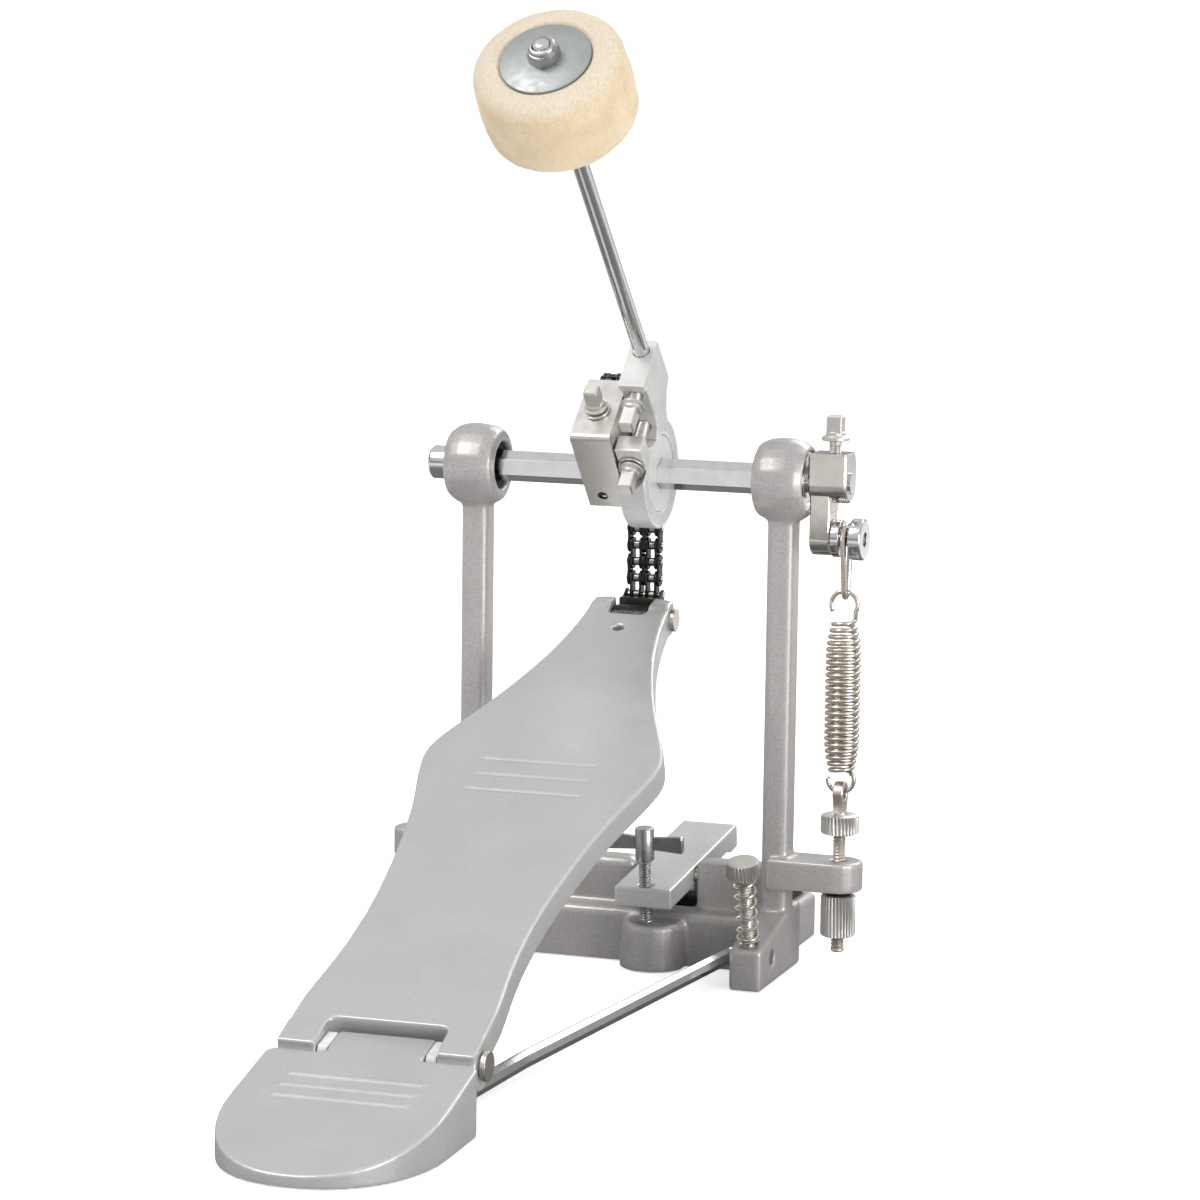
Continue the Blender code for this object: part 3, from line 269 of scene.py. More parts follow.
def moulded(name, colour, rough, grain_mm=0.8, strength=0.15):
    """Moulded rubber or plastic: faint clouds and a fine matt grain."""
    n = Nodes(name)
    tint = n.mix(n.spread(n.noise(5), 0, 1), scaled(colour, 0.88), scaled(colour, 1.08))
    gloss = n.spread(n.noise(2), rough * 0.85, min(1, rough * 1.12))
    return n.finish(tint, 0.0, gloss, n.bump(n.noise(grain_mm), strength, 0.08))


def wool_felt(name):
    """Pressed wool: cream with tan clouds, a painted highlight on the faces that look up the rod, matted fibres in
    two directions, a soft sheen.
    """
    n = Nodes(name)
    cream, tan = (0.80, 0.68, 0.48), (0.66, 0.50, 0.31)
    lit_top_colour, fibre_tan, fibre_grey = (0.76, 0.69, 0.565), (0.60, 0.46, 0.29), (0.60, 0.48, 0.33)
    clouds = n.mix(n.spread(n.noise(11, 5), 0, 1), cream, tan)
    geometry = n.add("ShaderNodeNewGeometry")
    facing = n.add("ShaderNodeVectorMath", operation="DOT_PRODUCT")
    n.link(geometry.outputs["Normal"], facing.inputs[0])
    facing.inputs[1].default_value = ROD_UP
    # painted highlight: faces that look up the rod are paler
    top = n.mix(n.spread(facing.outputs["Value"], 0, 1, 0.25, 0.9), clouds, lit_top_colour)
    fibres = n.noise(0.5, 8, (6, 1, 1.4))
    crossing = n.noise(0.5, 8, (1, 1.3, 6))
    matted = n.mix(n.spread(n.noise(1.6, 8, (2.2, 1, 1)), 0, 0.55, 0.42, 0.7), top, fibre_tan)
    tint = n.mix(n.spread(fibres, 0, 0.35), matted, fibre_grey)
    normal = n.bump(crossing, 0.6, 0.2, n.bump(fibres, 0.6, 0.2, n.bump(n.noise(3.5), 0.4, 0.6)))
    return n.finish(tint, 0.0, 0.96, normal, Sheen_Weight=0.15, Sheen_Roughness=0.5)


MATERIALS = {
    "cast_paint": cast_paint("casting_silver_paint", (0.52, 0.50, 0.488)),
    "cast_aluminium": satin_casting("satin_aluminium", (0.66, 0.655, 0.64)),
    "satin_nickel": brushed("brushed_nickel", (0.80, 0.775, 0.735)),
    "nickel": plated("bright_nickel", (0.76, 0.73, 0.69), 0.26),
    "chrome": plated("bright_chrome", (0.76, 0.765, 0.765), 0.13, scratch=0.03),
    "black_steel": blackened("black_steel", (0.018, 0.018, 0.02)),
    "black_rubber": moulded("black_rubber", (0.02, 0.02, 0.021), 0.75),
    "white_nylon": moulded("white_nylon", (0.78, 0.78, 0.77), 0.4),
    "felt": wool_felt("wool_felt"),
}
SPRING_WIRE = plated("spring_wire", (0.74, 0.67, 0.60), 0.26)
ZINC = plated("zinc_plate", (0.40, 0.42, 0.415), 0.5, smear=4, metallic=0.7)
KNURLED = plated("satin_screw_nickel", (0.74, 0.715, 0.68), 0.4)
THREADED = plated("threaded_nickel", (0.70, 0.64, 0.575), 0.42)
WARM_NICKEL = plated("warm_nickel", (0.72, 0.685, 0.635), 0.2)
BOARD_PAINT = cast_paint("footboard_paint", (0.555, 0.562, 0.552), 0.35, 0.06)
CLAMP_PAINT = cast_paint("clamp_paint", (0.66, 0.665, 0.655), 0.4, 0.08)
WORN_STEEL = plated("worn_steel", (0.50, 0.49, 0.48), 0.3)
ROLLER_STEEL = plated("chain_roller_steel", (0.42, 0.36, 0.30), 0.3)


# ---------------------------------------------------------------- mesh building

def piece(name, verts, faces, node, materials=None, place=Matrix.Identity(4), smooth=35):
    """A mesh piece that rides on the body of a CAD node and stands for that node."""
    mesh = bpy.data.meshes.new(name)
    mesh.from_pydata([tuple(v) for v in verts], [], faces)
    return adopt(name, mesh, node, materials, place, smooth)


def adopt(name, mesh, node, materials=None, place=Matrix.Identity(4), smooth=35):
    """Makes a mesh a piece: normals out, smooth shading up to an angle, its materials, body and slot."""
    mesh.validate()
    bm = bmesh.new()
    bm.from_mesh(mesh)
    bmesh.ops.recalc_face_normals(bm, faces=bm.faces)
    bm.to_mesh(mesh)
    bm.free()
    mesh.shade_smooth()
    mesh.set_sharp_from_angle(angle=math.radians(smooth))
    obj = bpy.data.objects.new(name, mesh)
    bpy.context.scene.collection.objects.link(obj)
    obj.matrix_world = place
    for material in materials or [MATERIALS[SLOT_OF[node]]]:
        mesh.materials.append(material)
    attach(obj, BODY_OF[node])
    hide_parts(node)
    return obj


def lathe(profile, segments=48, ripple=None, ring=False):
    """A shape turned about Z: a profile of (radius, z) in mm, which ripple(radius, angle, z) may bend."""
    verts, faces = [], []
    for r, z in profile:
        for k in range(segments):
            a = 2 * math.pi * k / segments
            radius = ripple(r, a, z) if ripple else r
            verts.append((radius * math.cos(a) * MM, radius * math.sin(a) * MM, z * MM))
    count = len(profile)
    for i in range(count if ring else count - 1):
        j = (i + 1) % count
        for k in range(segments):
            m = (k + 1) % segments
            faces.append((i * segments + k, i * segments + m, j * segments + m, j * segments + k))
    if not ring:
        faces.append(tuple(range(segments)))
        faces.append(tuple(range((count - 1) * segments, count * segments)))
    return verts, faces


def steps(radius, start, end, step):
    """Profile points along a straight side, close enough together for a thread."""
    count = max(2, int(abs(end - start) / step) + 1)
    return [(radius, start + (end - start) * i / (count - 1)) for i in range(count)]


def thread(pitch, depth, low, high):
    """A ripple that cuts a helical thread between two heights."""
    def ripple(r, a, z):
        if not low <= z <= high:
            return r
        phase = (z / pitch - a / (2 * math.pi)) % 1
        fade = min(1, (z - low) / pitch, (high - z) / pitch)
        return r - depth * (1 - abs(2 * phase - 1)) * fade
    return ripple


def flutes(count, depth, low, high, radius):
    """A ripple that cuts upright knurl grooves in a rim."""
    def ripple(r, a, z):
        if r < radius - 0.3 or not low <= z <= high:
            return r
        return r - depth * (0.5 + 0.5 * math.cos(count * a)) ** 0.7
    return ripple


def slab(outline, low, high, edge=0.15):
    """A flat plate with softened edges: its outline runs in the XY plane."""
    points = [Vector(p) for p in outline]
    area = sum(a.x * b.y - b.x * a.y for a, b in zip(points, points[1:] + points[:1]))
    if area < 0:
        points.reverse()
    count = len(points)
    inner = []
    for i, p in enumerate(points):
        before, after = points[i - 1], points[(i + 1) % count]
        n1 = Vector((-(p - before).y, (p - before).x)).normalized()
        n2 = Vector((-(after - p).y, (after - p).x)).normalized()
        both = (n1 + n2).normalized()
        inner.append(p + both * edge / max(0.5, both.dot(n1)))
    rings = [(inner, low), (points, low + edge), (points, high - edge), (inner, high)]
    verts = [(p.x * MM, p.y * MM, z * MM) for ring, z in rings for p in ring]
    faces = [tuple(range(count)), tuple(range(3 * count, 4 * count))]
    for r in range(3):
        for i in range(count):
            j = (i + 1) % count
            faces.append((r * count + i, r * count + j, (r + 1) * count + j, (r + 1) * count + i))
    return verts, faces


def sweep(points, radius, sides):
    """A round wire along points in mm."""
    points = [Vector(p) for p in points]
    count = len(points)
    verts, faces = [], []
    tangent = (points[1] - points[0]).normalized()
    normal = tangent.orthogonal().normalized()
    for i, p in enumerate(points):
        ahead, behind = points[min(i + 1, count - 1)], points[max(i - 1, 0)]
        turned_to = (ahead - behind).normalized()
        normal = (tangent.rotation_difference(turned_to) @ normal).normalized()
        tangent = turned_to
        side = tangent.cross(normal)
        for k in range(sides):
            a = 2 * math.pi * k / sides
            verts.append((p + (normal * math.cos(a) + side * math.sin(a)) * radius) * MM)
    for i in range(count - 1):
        j = i + 1
        for k in range(sides):
            m = (k + 1) % sides
            faces.append((i * sides + k, i * sides + m, j * sides + m, j * sides + k))
    faces.append(tuple(range(sides)))
    faces.append(tuple(range((count - 1) * sides, count * sides)))
    return verts, faces


def together(*shapes):
    """One vertex and face list from several shapes: each is (verts, faces) or ((verts, faces), matrix)."""
    verts, faces = [], []
    for shape in shapes:
        (v, f), matrix = shape if isinstance(shape[1], Matrix) else (shape, Matrix.Identity(4))
        base = len(verts)
        verts += [matrix @ Vector(p) for p in v]
        faces += [tuple(base + i for i in face) for face in f]
    return verts, faces


def arc(cx, cy, radius, start, end, count=10):
    """Points along an arc, from one angle to another in degrees."""
    angles = [math.radians(start + (end - start) * i / count) for i in range(count + 1)]
    return [(cx + radius * math.cos(a), cy + radius * math.sin(a)) for a in angles]


def cast_copy(node, voxel_mm, passes, place, material, dents=None, extra=()):
    """A casting: the CAD shape and any extra shapes, remeshed in their own frame and smoothed.

    dents moves each point afterwards, in that frame.
    """
    mesh = NODES[node].data.copy()
    mesh.transform(place.inverted())
    bm = bmesh.new()
    bm.from_mesh(mesh)
    for verts, faces in extra:
        made = [bm.verts.new(v) for v in verts]
        for face in faces:
            bm.faces.new([made[i] for i in face])
    bmesh.ops.recalc_face_normals(bm, faces=bm.faces)
    bm.to_mesh(mesh)
    bm.free()
    work = bpy.data.objects.new("casting_work", mesh)
    bpy.context.scene.collection.objects.link(work)
    remesh = work.modifiers.new("Remesh", "REMESH")
    remesh.mode = "VOXEL"
    remesh.voxel_size = voxel_mm * MM
    smooth = work.modifiers.new("Smooth", "SMOOTH")
    smooth.factor = 0.5
    smooth.iterations = passes
    bpy.context.view_layer.update()
    made = bpy.data.meshes.new_from_object(work.evaluated_get(bpy.context.evaluated_depsgraph_get()))
    bpy.data.objects.remove(work)
    made.materials.clear()
    if dents:
        for v in made.vertices:
            v.co = dents(v.co)
    made.transform(place)
    return adopt(f"{node}_casting", made, node, [material], smooth=60)


def flat_faces(obj):
    """Shades large faces flat, so that only the narrow ones round the corners."""
    weighted = obj.modifiers.new("WeightedNormal", "WEIGHTED_NORMAL")
    weighted.keep_sharp = True
    return obj


def refined(node, bevel_mm=0.25, material=None):
    """A CAD shape with its flat faces joined and its edges rounded, shaded flat where it is flat."""
    mesh = NODES[node].data.copy()
    bm = bmesh.new()
    bm.from_mesh(mesh)
    bmesh.ops.remove_doubles(bm, verts=bm.verts, dist=WELD)
    bmesh.ops.dissolve_limit(bm, angle_limit=math.radians(0.5), verts=bm.verts, edges=bm.edges)
    clean = bpy.data.meshes.new(node)
    bm.to_mesh(clean)
    bm.free()
    work = bpy.data.objects.new("refine_work", clean)
    bpy.context.scene.collection.objects.link(work)
    if bevel_mm:
        bevel = work.modifiers.new("Bevel", "BEVEL")
        bevel.width = bevel_mm * MM
        bevel.segments = 2
        bevel.limit_method = "ANGLE"
        bevel.angle_limit = math.radians(38)
    bpy.context.view_layer.update()
    made = bpy.data.meshes.new_from_object(work.evaluated_get(bpy.context.evaluated_depsgraph_get()))
    bpy.data.objects.remove(work)
    made.materials.clear()
    obj = adopt(f"{node}_refined", made, node, [material] if material else None)
    return flat_faces(obj)


# ---------------------------------------------------------------- castings

HEEL_PLANE = 4.5  # the heel plate's top above the hinge line, square to its slope
HEEL_SLOPE = 14  # degrees that the heel plate's top falls from the hinge to its round end
TONGUE_HALF = 16.3  # half the width of the heel plate's tongue, between the footboard's ears
EAR_SPANS = ((-33.8, -21.0), (21.0, 33.8))  # the footboard's two ears, along the hinge line
RIB_LINES = (-24, -31, -38)  # grip ribs on the heel plate, from the hinge line
RIB_REACH, RIB_WIDTH, RIB_HEIGHT = 24, 1.4, 0.55
GROOVE_LINES = (150, 160, 170)  # grip lines on the footboard, from the hinge line
GROOVE_REACH, GROOVE_WIDTH, GROOVE_DEPTH = 22, 0.9, 0.5


def nearness(co, lines, width, reach, soft):
    """How strongly a point lies on one of the lines along X, from 0 to 1; soft is the fade at their ends."""
    along, across = co.y / MM, abs(co.x) / MM
    ends = min(1.0, (reach - across) / soft)
    return sum(max(0.0, 1 - ((along - line) / width) ** 2) for line in lines) * ends


def block_between(low, high):
    """A box from corner to corner, in mm."""
    corners = ((low[0], low[1]), (high[0], low[1]), (high[0], high[1]), (low[0], high[1]))
    verts = [(x * MM, y * MM, z * MM) for z in (low[2], high[2]) for x, y in corners]
    sides = [(i, (i + 1) % 4, 4 + (i + 1) % 4, 4 + i) for i in range(4)]
    return verts, [(3, 2, 1, 0), (4, 5, 6, 7), *sides]


def castings():
    cast_copy("frame_casting", 0.8, 5, Matrix.Identity(4), MATERIALS["cast_paint"])
    level = Z_AXIS.cross(HINGE_LINE)
    slope = local_frame(HEEL, HINGE_LINE, Matrix.Rotation(math.radians(HEEL_SLOPE), 3, HINGE_LINE) @ level)

    def flat(co):
        return Vector((co.x, co.y, min(co.z, HEEL_PLANE * MM)))

    def ribs(co):
        """Flattens the knuckle into the plate's plane, and raises three plain grip ribs on the top face."""
        across = abs(co.x) / MM
        if across < TONGUE_HALF + 1.1:
            co = flat(co)
        if co.z < -4 * MM or across > RIB_REACH:
            return co
        return co + Z_AXIS * (RIB_HEIGHT * nearness(co, RIB_LINES, RIB_WIDTH, RIB_REACH, 1.5) * MM)

    tongue = block_between((-TONGUE_HALF, -12.5, -2), (TONGUE_HALF, 6.0, HEEL_PLANE))
    cast_copy("heel_plate", 0.6, 6, slope, BOARD_PAINT, ribs, [tongue])

    def grooves(co):
        """Three plain engraved grip lines across the footboard."""
        if co.z < 6 * MM or abs(co.x) > GROOVE_REACH * MM:
            return co
        return co - Z_AXIS * (GROOVE_DEPTH * nearness(co, GROOVE_LINES, GROOVE_WIDTH, GROOVE_REACH, 1.0) * MM)

    for side in ("left", "right"):
        cast_copy(f"heel_washer_{side}", 0.35, 2, slope, MATERIALS["white_nylon"], flat)
    ears = [block_between((low, -5.4, -1), (high, 6, 7.3)) for low, high in EAR_SPANS]
    cast_copy("footboard", 0.65, 5, BOARD, BOARD_PAINT, grooves, ears)
    wing_down = joint_axis("wing_travel")
    plate_frame = local_frame(joint_at("clamp_close"), X_AXIS, X_AXIS.cross(wing_down))
    cast_copy("clamp_plate", 0.4, 14, plate_frame, CLAMP_PAINT)
    cast_copy("beater_hub", 0.3, 4, local_frame(SHAFT, X_AXIS, ROD_BACK), MATERIALS["cast_aluminium"])


# ---------------------------------------------------------------- chain

PITCH = 6.35
PLATE_HALF = 2.95
WRAPPED_PINS = 5
HANGING_PINS = 9
BLACK, STEEL, BRIGHT = range(3)  # a link's materials: its plates, rollers and pins
OUTER_SPANS = ((5.4, 6.4), (-0.7, 0.7), (-6.4, -5.4))
INNER_SPANS = ((4.3, 5.3), (0.8, 1.7), (-1.7, -0.8), (-5.3, -4.3))


def link_shapes(start, end, outer):
    """One duplex link between two pins, as a list of (shape, material)."""
    turn = math.atan2(end.y - start.y, end.x - start.x)
    degrees = math.degrees(turn)
    side = Vector((-math.sin(turn), math.cos(turn)))
    waist = PLATE_HALF * 0.68
    middle = (start + end) / 2
    outline = arc(*end, PLATE_HALF, degrees - 78, degrees + 78, 10) + [tuple(middle + side * waist)]
    outline += arc(*start, PLATE_HALF, degrees + 102, degrees + 258, 10) + [tuple(middle - side * waist)]
    spans = OUTER_SPANS if outer else INNER_SPANS
    shapes = [(slab(outline, low, high, 0.14), BLACK) for low, high in spans]
    for p in (start, end):
        place = Matrix.Translation((p.x * MM, p.y * MM, 0))
        if outer:
            pin = [(0.3, 7.25), (0.9, 7.2), (1.15, 6.95), (1.15, -6.95), (0.9, -7.2), (0.3, -7.25)]
            shapes.append(((lathe(pin, 16), place), BRIGHT))
            continue
        for low, high in ((1.8, 4.2), (-4.2, -1.8)):
            roller = [(1.2, high), (1.5, high), (1.65, high - 0.2), (1.65, low + 0.2), (1.5, low), (1.2, low)]
            shapes.append(((lathe(roller, 18), place), STEEL))
    return shapes


def chain_mesh(node, pins, first_outer, extra_pin=False):
    """A run of links through the pins, turn by turn outer and inner; extra_pin ends it with a longer pin."""
    shapes = []
    for number, (start, end) in enumerate(zip(pins, pins[1:])):
        shapes += link_shapes(start, end, first_outer == (number % 2 == 0))
    if extra_pin:
        end = pins[-1]
        pin = [(0.3, 7.9), (1.0, 7.8), (1.15, 7.6), (1.15, -7.6), (1.0, -7.8), (0.3, -7.9)]
        shapes.append(((lathe(pin, 16), Matrix.Translation((end.x * MM, end.y * MM, 0))), BRIGHT))
    verts, faces = together(*(shape for shape, _ in shapes))
    finishes = [MATERIALS["black_steel"], ROLLER_STEEL, MATERIALS["nickel"]]
    made = piece(f"{node}_detail", verts, faces, node, finishes, sideways(centre(node).x, 0, 0))
    indices = [material for shape, material in shapes for _ in together(shape)[1]]
    for polygon, index in zip(made.data.polygons, indices):
        polygon.material_index = index


def in_side_view(point):
    """A world point as (Y, Z), in mm."""
    return Vector((point[1], point[2])) / MM


def chain():
    """The chain's three runs: wrapped on the cam, link by link around it, and hanging down to the toe."""
    bends = [in_side_view(joint_at(f"chain_bend_{k}")) for k in range(1, 6)]
    leaving = in_side_view(joint_at("chain_hang"))
    centre_2d = in_side_view(SHAFT)
    radius = (leaving - centre_2d).length
    step = 2 * math.asin(PITCH / 2 / radius)
    start = math.atan2(*reversed(bends[0] - centre_2d))
    angles = [start + step * i for i in reversed(range(WRAPPED_PINS))]
    wrapped = [centre_2d + radius * Vector((math.cos(a), math.sin(a))) for a in angles]
    chain_mesh("chain_wrap", wrapped, first_outer=False)
    pins = bends + [leaving]
    for number, (a, b) in enumerate(zip(pins, pins[1:])):
        chain_mesh(f"chain_link_{number + 1}", [a, b], first_outer=number % 2 == 1)
    hanging = [leaving - Vector((0, PITCH * i)) for i in range(HANGING_PINS)]
    chain_mesh("chain_run", hanging, first_outer=True, extra_pin=True)


# ---------------------------------------------------------------- springs

SPRING_TURNS = 24


def coil(turns, radius_at, low, high, per_turn=26):
    """Centre line of a spring that winds up Z from low to high."""
    count = int(turns * per_turn)
    line = []
    for i in range(count + 1):
        t = i / count
        a = 2 * math.pi * turns * t
        z = low + (high - low) * t
        line.append((radius_at(z) * math.cos(a), radius_at(z) * math.sin(a), z))
    return line


def tension_spring():
    """Tapered close coil with a hook at each end, taken off the body that it rides on."""
    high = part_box("tension_spring")[1].z / MM
    hook_z = joint_at("spring_swing").z / MM
    wire, reach = 0.84, 5.0
    coil_low, coil_high = hook_z + 7.2, high - 12.0
    taper, narrow, full = 13.0, 3.8, 5.75

    def radius_at(z):
        inside = min(z - coil_low, coil_high - z, taper) / taper
        return narrow + (full - narrow) * math.sin(math.pi / 2 * max(0.0, inside))

    body = coil(SPRING_TURNS, radius_at, coil_low, coil_high)
    below, above = hook_z + reach, high - wire - reach
    low_hook = [(x, 0, z) for x, z in arc(0, below, reach, -186, 24, 22)]
    top_hook = [(x, 0, z) for x, z in arc(0, above, reach, -30, 212, 22)]
    path = low_hook + body + [(4.3, 0, coil_high + 1.0)] + top_hook
    verts, faces = sweep(path, wire, 12)
    place = upright(SPRING.x, SPRING.y)
    made = piece("tension_spring_coil", verts, faces, "tension_spring", [SPRING_WIRE], place, smooth=180)
    stretch_between(made, place)


def stretch_between(made, place):
    """Takes a piece off the one body that it rides on and leaves it where it stands."""
    made.parent = None
    made.matrix_world = place
    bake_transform(made)


def along_axis(node, joint_name):
    """A frame in the middle of a CAD node whose Z runs along a joint's axis."""
    up = joint_axis(joint_name)
    return local_frame(centre(node), X_AXIS, up.cross(X_AXIS))


def spur(side):
    """Spur screw: knurled head, thread, hardened tip, and the light coil under its head."""
    node = f"spur_screw_{side}"
    place = along_axis(node, f"spur_travel_{side}")
    bottom, top = span(node, place)
    rim = 6.2
    head = [(1.6, top), (4.9, top), (5.7, top - 0.25), (rim, top - 0.9)]
    head += [(rim, top - 5.5), (5.7, top - 6.1), (4.2, top - 6.4)]
    shank = steps(2.5, top - 6.5, bottom + 3.0, 0.16)
    shank += [(2.2, bottom + 1.4), (0.5, bottom + 0.1), (0.1, bottom)]
    bite, grip = thread(1.1, 0.5, bottom + 3.2, top - 7), flutes(30, 0.8, top - 5.7, top - 0.8, rim)
    verts, faces = lathe(head + shank, 180, lambda r, a, z: grip(bite(r, a, z), a, z))
    piece(f"{node}_detail", verts, faces, node, [KNURLED], place)
    spring_node = f"spur_spring_{side}"
    low_end, high_end = span(spring_node, place)
    stretches = ((2.0, low_end + 0.5, low_end + 2.6), (5.0, low_end + 2.6, high_end - 1.4))
    line = []
    for turns, start, end in (*stretches, (1.0, high_end - 1.4, high_end - 0.5)):
        line += coil(turns, lambda z: 3.85, start, end)[1 if line else 0:]
    made = piece(f"{spring_node}_coil", *sweep(line, 0.5, 10), spring_node, [SPRING_WIRE], place)
    stretch_between(made, place)


# ---------------------------------------------------------------- tension rod and nuts

def knurled_nut(node):
    """A thumb nut with a grooved rim."""
    low, high = (v.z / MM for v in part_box(node))
    radius = (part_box(node)[1].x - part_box(node)[0].x) / MM / 2
    bore = 2.62
    profile = [(bore, high - 0.5), (bore + 0.6, high), (radius - 0.9, high), (radius - 0.3, high - 0.3)]
    profile += [(radius, high - 1.0), (radius, low + 1.0)]
    profile += [(radius - 0.3, low + 0.3), (radius - 0.9, low), (bore + 0.6, low), (bore, low + 0.5)]
    verts, faces = lathe(profile, 192, flutes(32, 0.75, low + 0.8, high - 0.8, radius), ring=True)
    piece(f"{node}_detail", verts, faces, node, [KNURLED], upright(SPRING.x, SPRING.y))


def tension_rod():
    """Threaded rod, flattened at the top into an eye."""
    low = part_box("tension_rod")[0].z / MM
    neck = 61.5
    eye_z = joint_at("spring_swing").z / MM - 0.4
    shank = [(1.9, low)] + steps(2.5, low + 0.5, neck - 0.5, 0.14) + [(2.4, neck + 0.4), (1.9, neck + 1.0)]
    rod = lathe(shank, 48, thread(1.25, 0.5, low + 0.6, neck - 1.5))
    outer, hole, foot = 4.6, 2.2, 2.4
    drop = eye_z - neck
    lean = (outer - foot) / drop
    count = 40
    verts, faces = [], []
    for x, shrink in ((-1.9, 0.35), (-1.55, 0), (1.55, 0), (1.9, 0.35)):
        for k in range(count):
            a = 2 * math.pi * k / count
            reach = outer
            if math.sin(a) < 0:
                reach = min(outer / (abs(math.cos(a)) - lean * math.sin(a)), drop / -math.sin(a))
            reach -= shrink
            verts.append((x * MM, reach * math.cos(a) * MM, (eye_z + reach * math.sin(a)) * MM))
        for k in range(count):
            a = 2 * math.pi * k / count
            inner = hole + shrink
            verts.append((x * MM, inner * math.cos(a) * MM, (eye_z + inner * math.sin(a)) * MM))
    for layer in range(4):
        base = layer * 2 * count
        for k in range(count):
            m = (k + 1) % count
            if layer in (0, 3):
                faces.append((base + k, base + m, base + count + m, base + count + k))
            if layer < 3:
                up = base + 2 * count
                faces.append((base + k, base + m, up + m, up + k))
                faces.append((base + count + k, base + count + m, up + count + m, up + count + k))
    place = upright(SPRING.x, SPRING.y)
    piece("tension_rod_detail", *together(rod, (verts, faces)), "tension_rod", [THREADED], place)


# ---------------------------------------------------------------- screws

def square_head(half, low, high, crown=0.5):
    """A square shaft with soft corners and a chamfered end."""
    corner = 0.55
    outline = []
    for quarter in range(4):
        a = quarter * 90
        cx = (half - corner) * (1 if quarter in (0, 3) else -1)
        cy = (half - corner) * (1 if quarter in (0, 1) else -1)
        outline += arc(cx, cy, corner, a, a + 90, 4)
    return slab(outline, low, high, crown)


def key_screw(node, place, length, flange, head, flats=5.2):
    """Drum-key screw: square head, round collar, washer-faced flange and a threaded shank below z = 0."""
    square = square_head(flats / 2, 2.0, head)
    collar = [(0.5, 3.4), (2.9, 3.4), (3.5, 2.9), (3.6, 2.0)]
    collar += [(flange - 0.5, 1.55), (flange, 1.2), (flange, 0.35), (flange - 0.35, 0.0)]
    shank = steps(2.4, -0.1, -length + 0.6, 0.14) + [(1.8, -length), (0.3, -length)]
    turned = lathe(collar + shank, 40, thread(1.0, 0.42, -length + 0.6, -0.4))
    return flat_faces(piece(f"{node}_detail", *together(square, turned), node, [KNURLED], place))


def screws():
    """The four drum-key screws: two in the hub, one in the cam bracket, one in the rocker lever."""
    hub_x = centre("beater_rod").x
    towards = local_frame((0, 0, 0), X_AXIS, ROD_UP)  # Z = -ROD_BACK, towards the drummer
    for node, length, flange in (("rod_lock_screw", 16.2, 4.5), ("hub_clamp_screw", 26.5, 4.6)):
        ends = [(Vector(v.co) - SHAFT).dot(-ROD_BACK) / MM for v in NODES[node].data.vertices]
        up = (centre(node) - SHAFT).dot(ROD_UP)
        base = min(ends) + length
        place = towards.copy()
        place.translation = Vector((hub_x, SHAFT.y, SHAFT.z)) + ROD_UP * up - ROD_BACK * base * MM
        key_screw(node, place, length, flange, max(ends) - base)
    cam_up = (centre("cam_screw") - centre("cam_washer")).normalized()
    cam_place = local_frame(centre("cam_washer") + cam_up * 0.9 * MM, X_AXIS, cam_up.cross(X_AXIS))
    key_screw("cam_screw", cam_place, 9.0, 4.2, 10.0)
    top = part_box("rocker_key_screw")[1].z / MM
    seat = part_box("rocker_lever")[1].z / MM + 0.3
    at = centre("rocker_key_screw")
    lift = 4.2  # how far the flange stands off the lever
    place = upright(at.x, at.y, (seat + lift) * MM)
    key_screw("rocker_key_screw", place, 6.0 + lift, 5.1, top - seat - lift, 5.8)


def wing_bolt():
    """Wing bolt: a barrel with two flat, slightly flared wings, and a threaded shank."""
    up = -joint_axis("wing_travel")
    base = joint_at("clamp_close")
    along = up.cross(X_AXIS)
    offset = (centre("wing_bolt") - base).dot(along)
    place = local_frame(base + along * offset, X_AXIS, along)
    low, high = span("wing_bolt", place)
    neck = high - 12.7
    shank = [(1.9, low)] + steps(2.6, low + 0.7, neck - 0.1, 0.16)
    barrel = [(3.2, neck), (3.6, neck + 0.5), (3.6, high - 0.7), (3.3, high - 0.2), (2.6, high), (0.3, high)]
    turned = lathe(shank + barrel, 40, thread(1.0, 0.45, low + 0.6, neck))
    piece("wing_bolt_stem", *turned, "wing_bolt", [WORN_STEEL], place)
    bottom, top = high - 9.0, high - 2.6
    for side, label in ((1, "right"), (-1, "left")):
        outline = [(2.6, bottom + 0.7), (8, bottom + 0.4), (13.5, bottom)]
        outline += arc(14.0, bottom + 1.0, 1.0, -70, 0, 3)
        outline += arc(14.0, top - 1.0, 1.0, 0, 80, 3) + [(13.5, top), (8, top - 0.5), (2.6, top - 0.9)]
        shape = slab([(side * x, z) for x, z in outline], -1.25, 1.25, 0.45)
        turn = Matrix.Rotation(math.pi / 2, 4, "X")
        piece(f"wing_bolt_wing_{label}", *together((shape, turn)), "wing_bolt", [WORN_STEEL], place)


# ---------------------------------------------------------------- beater

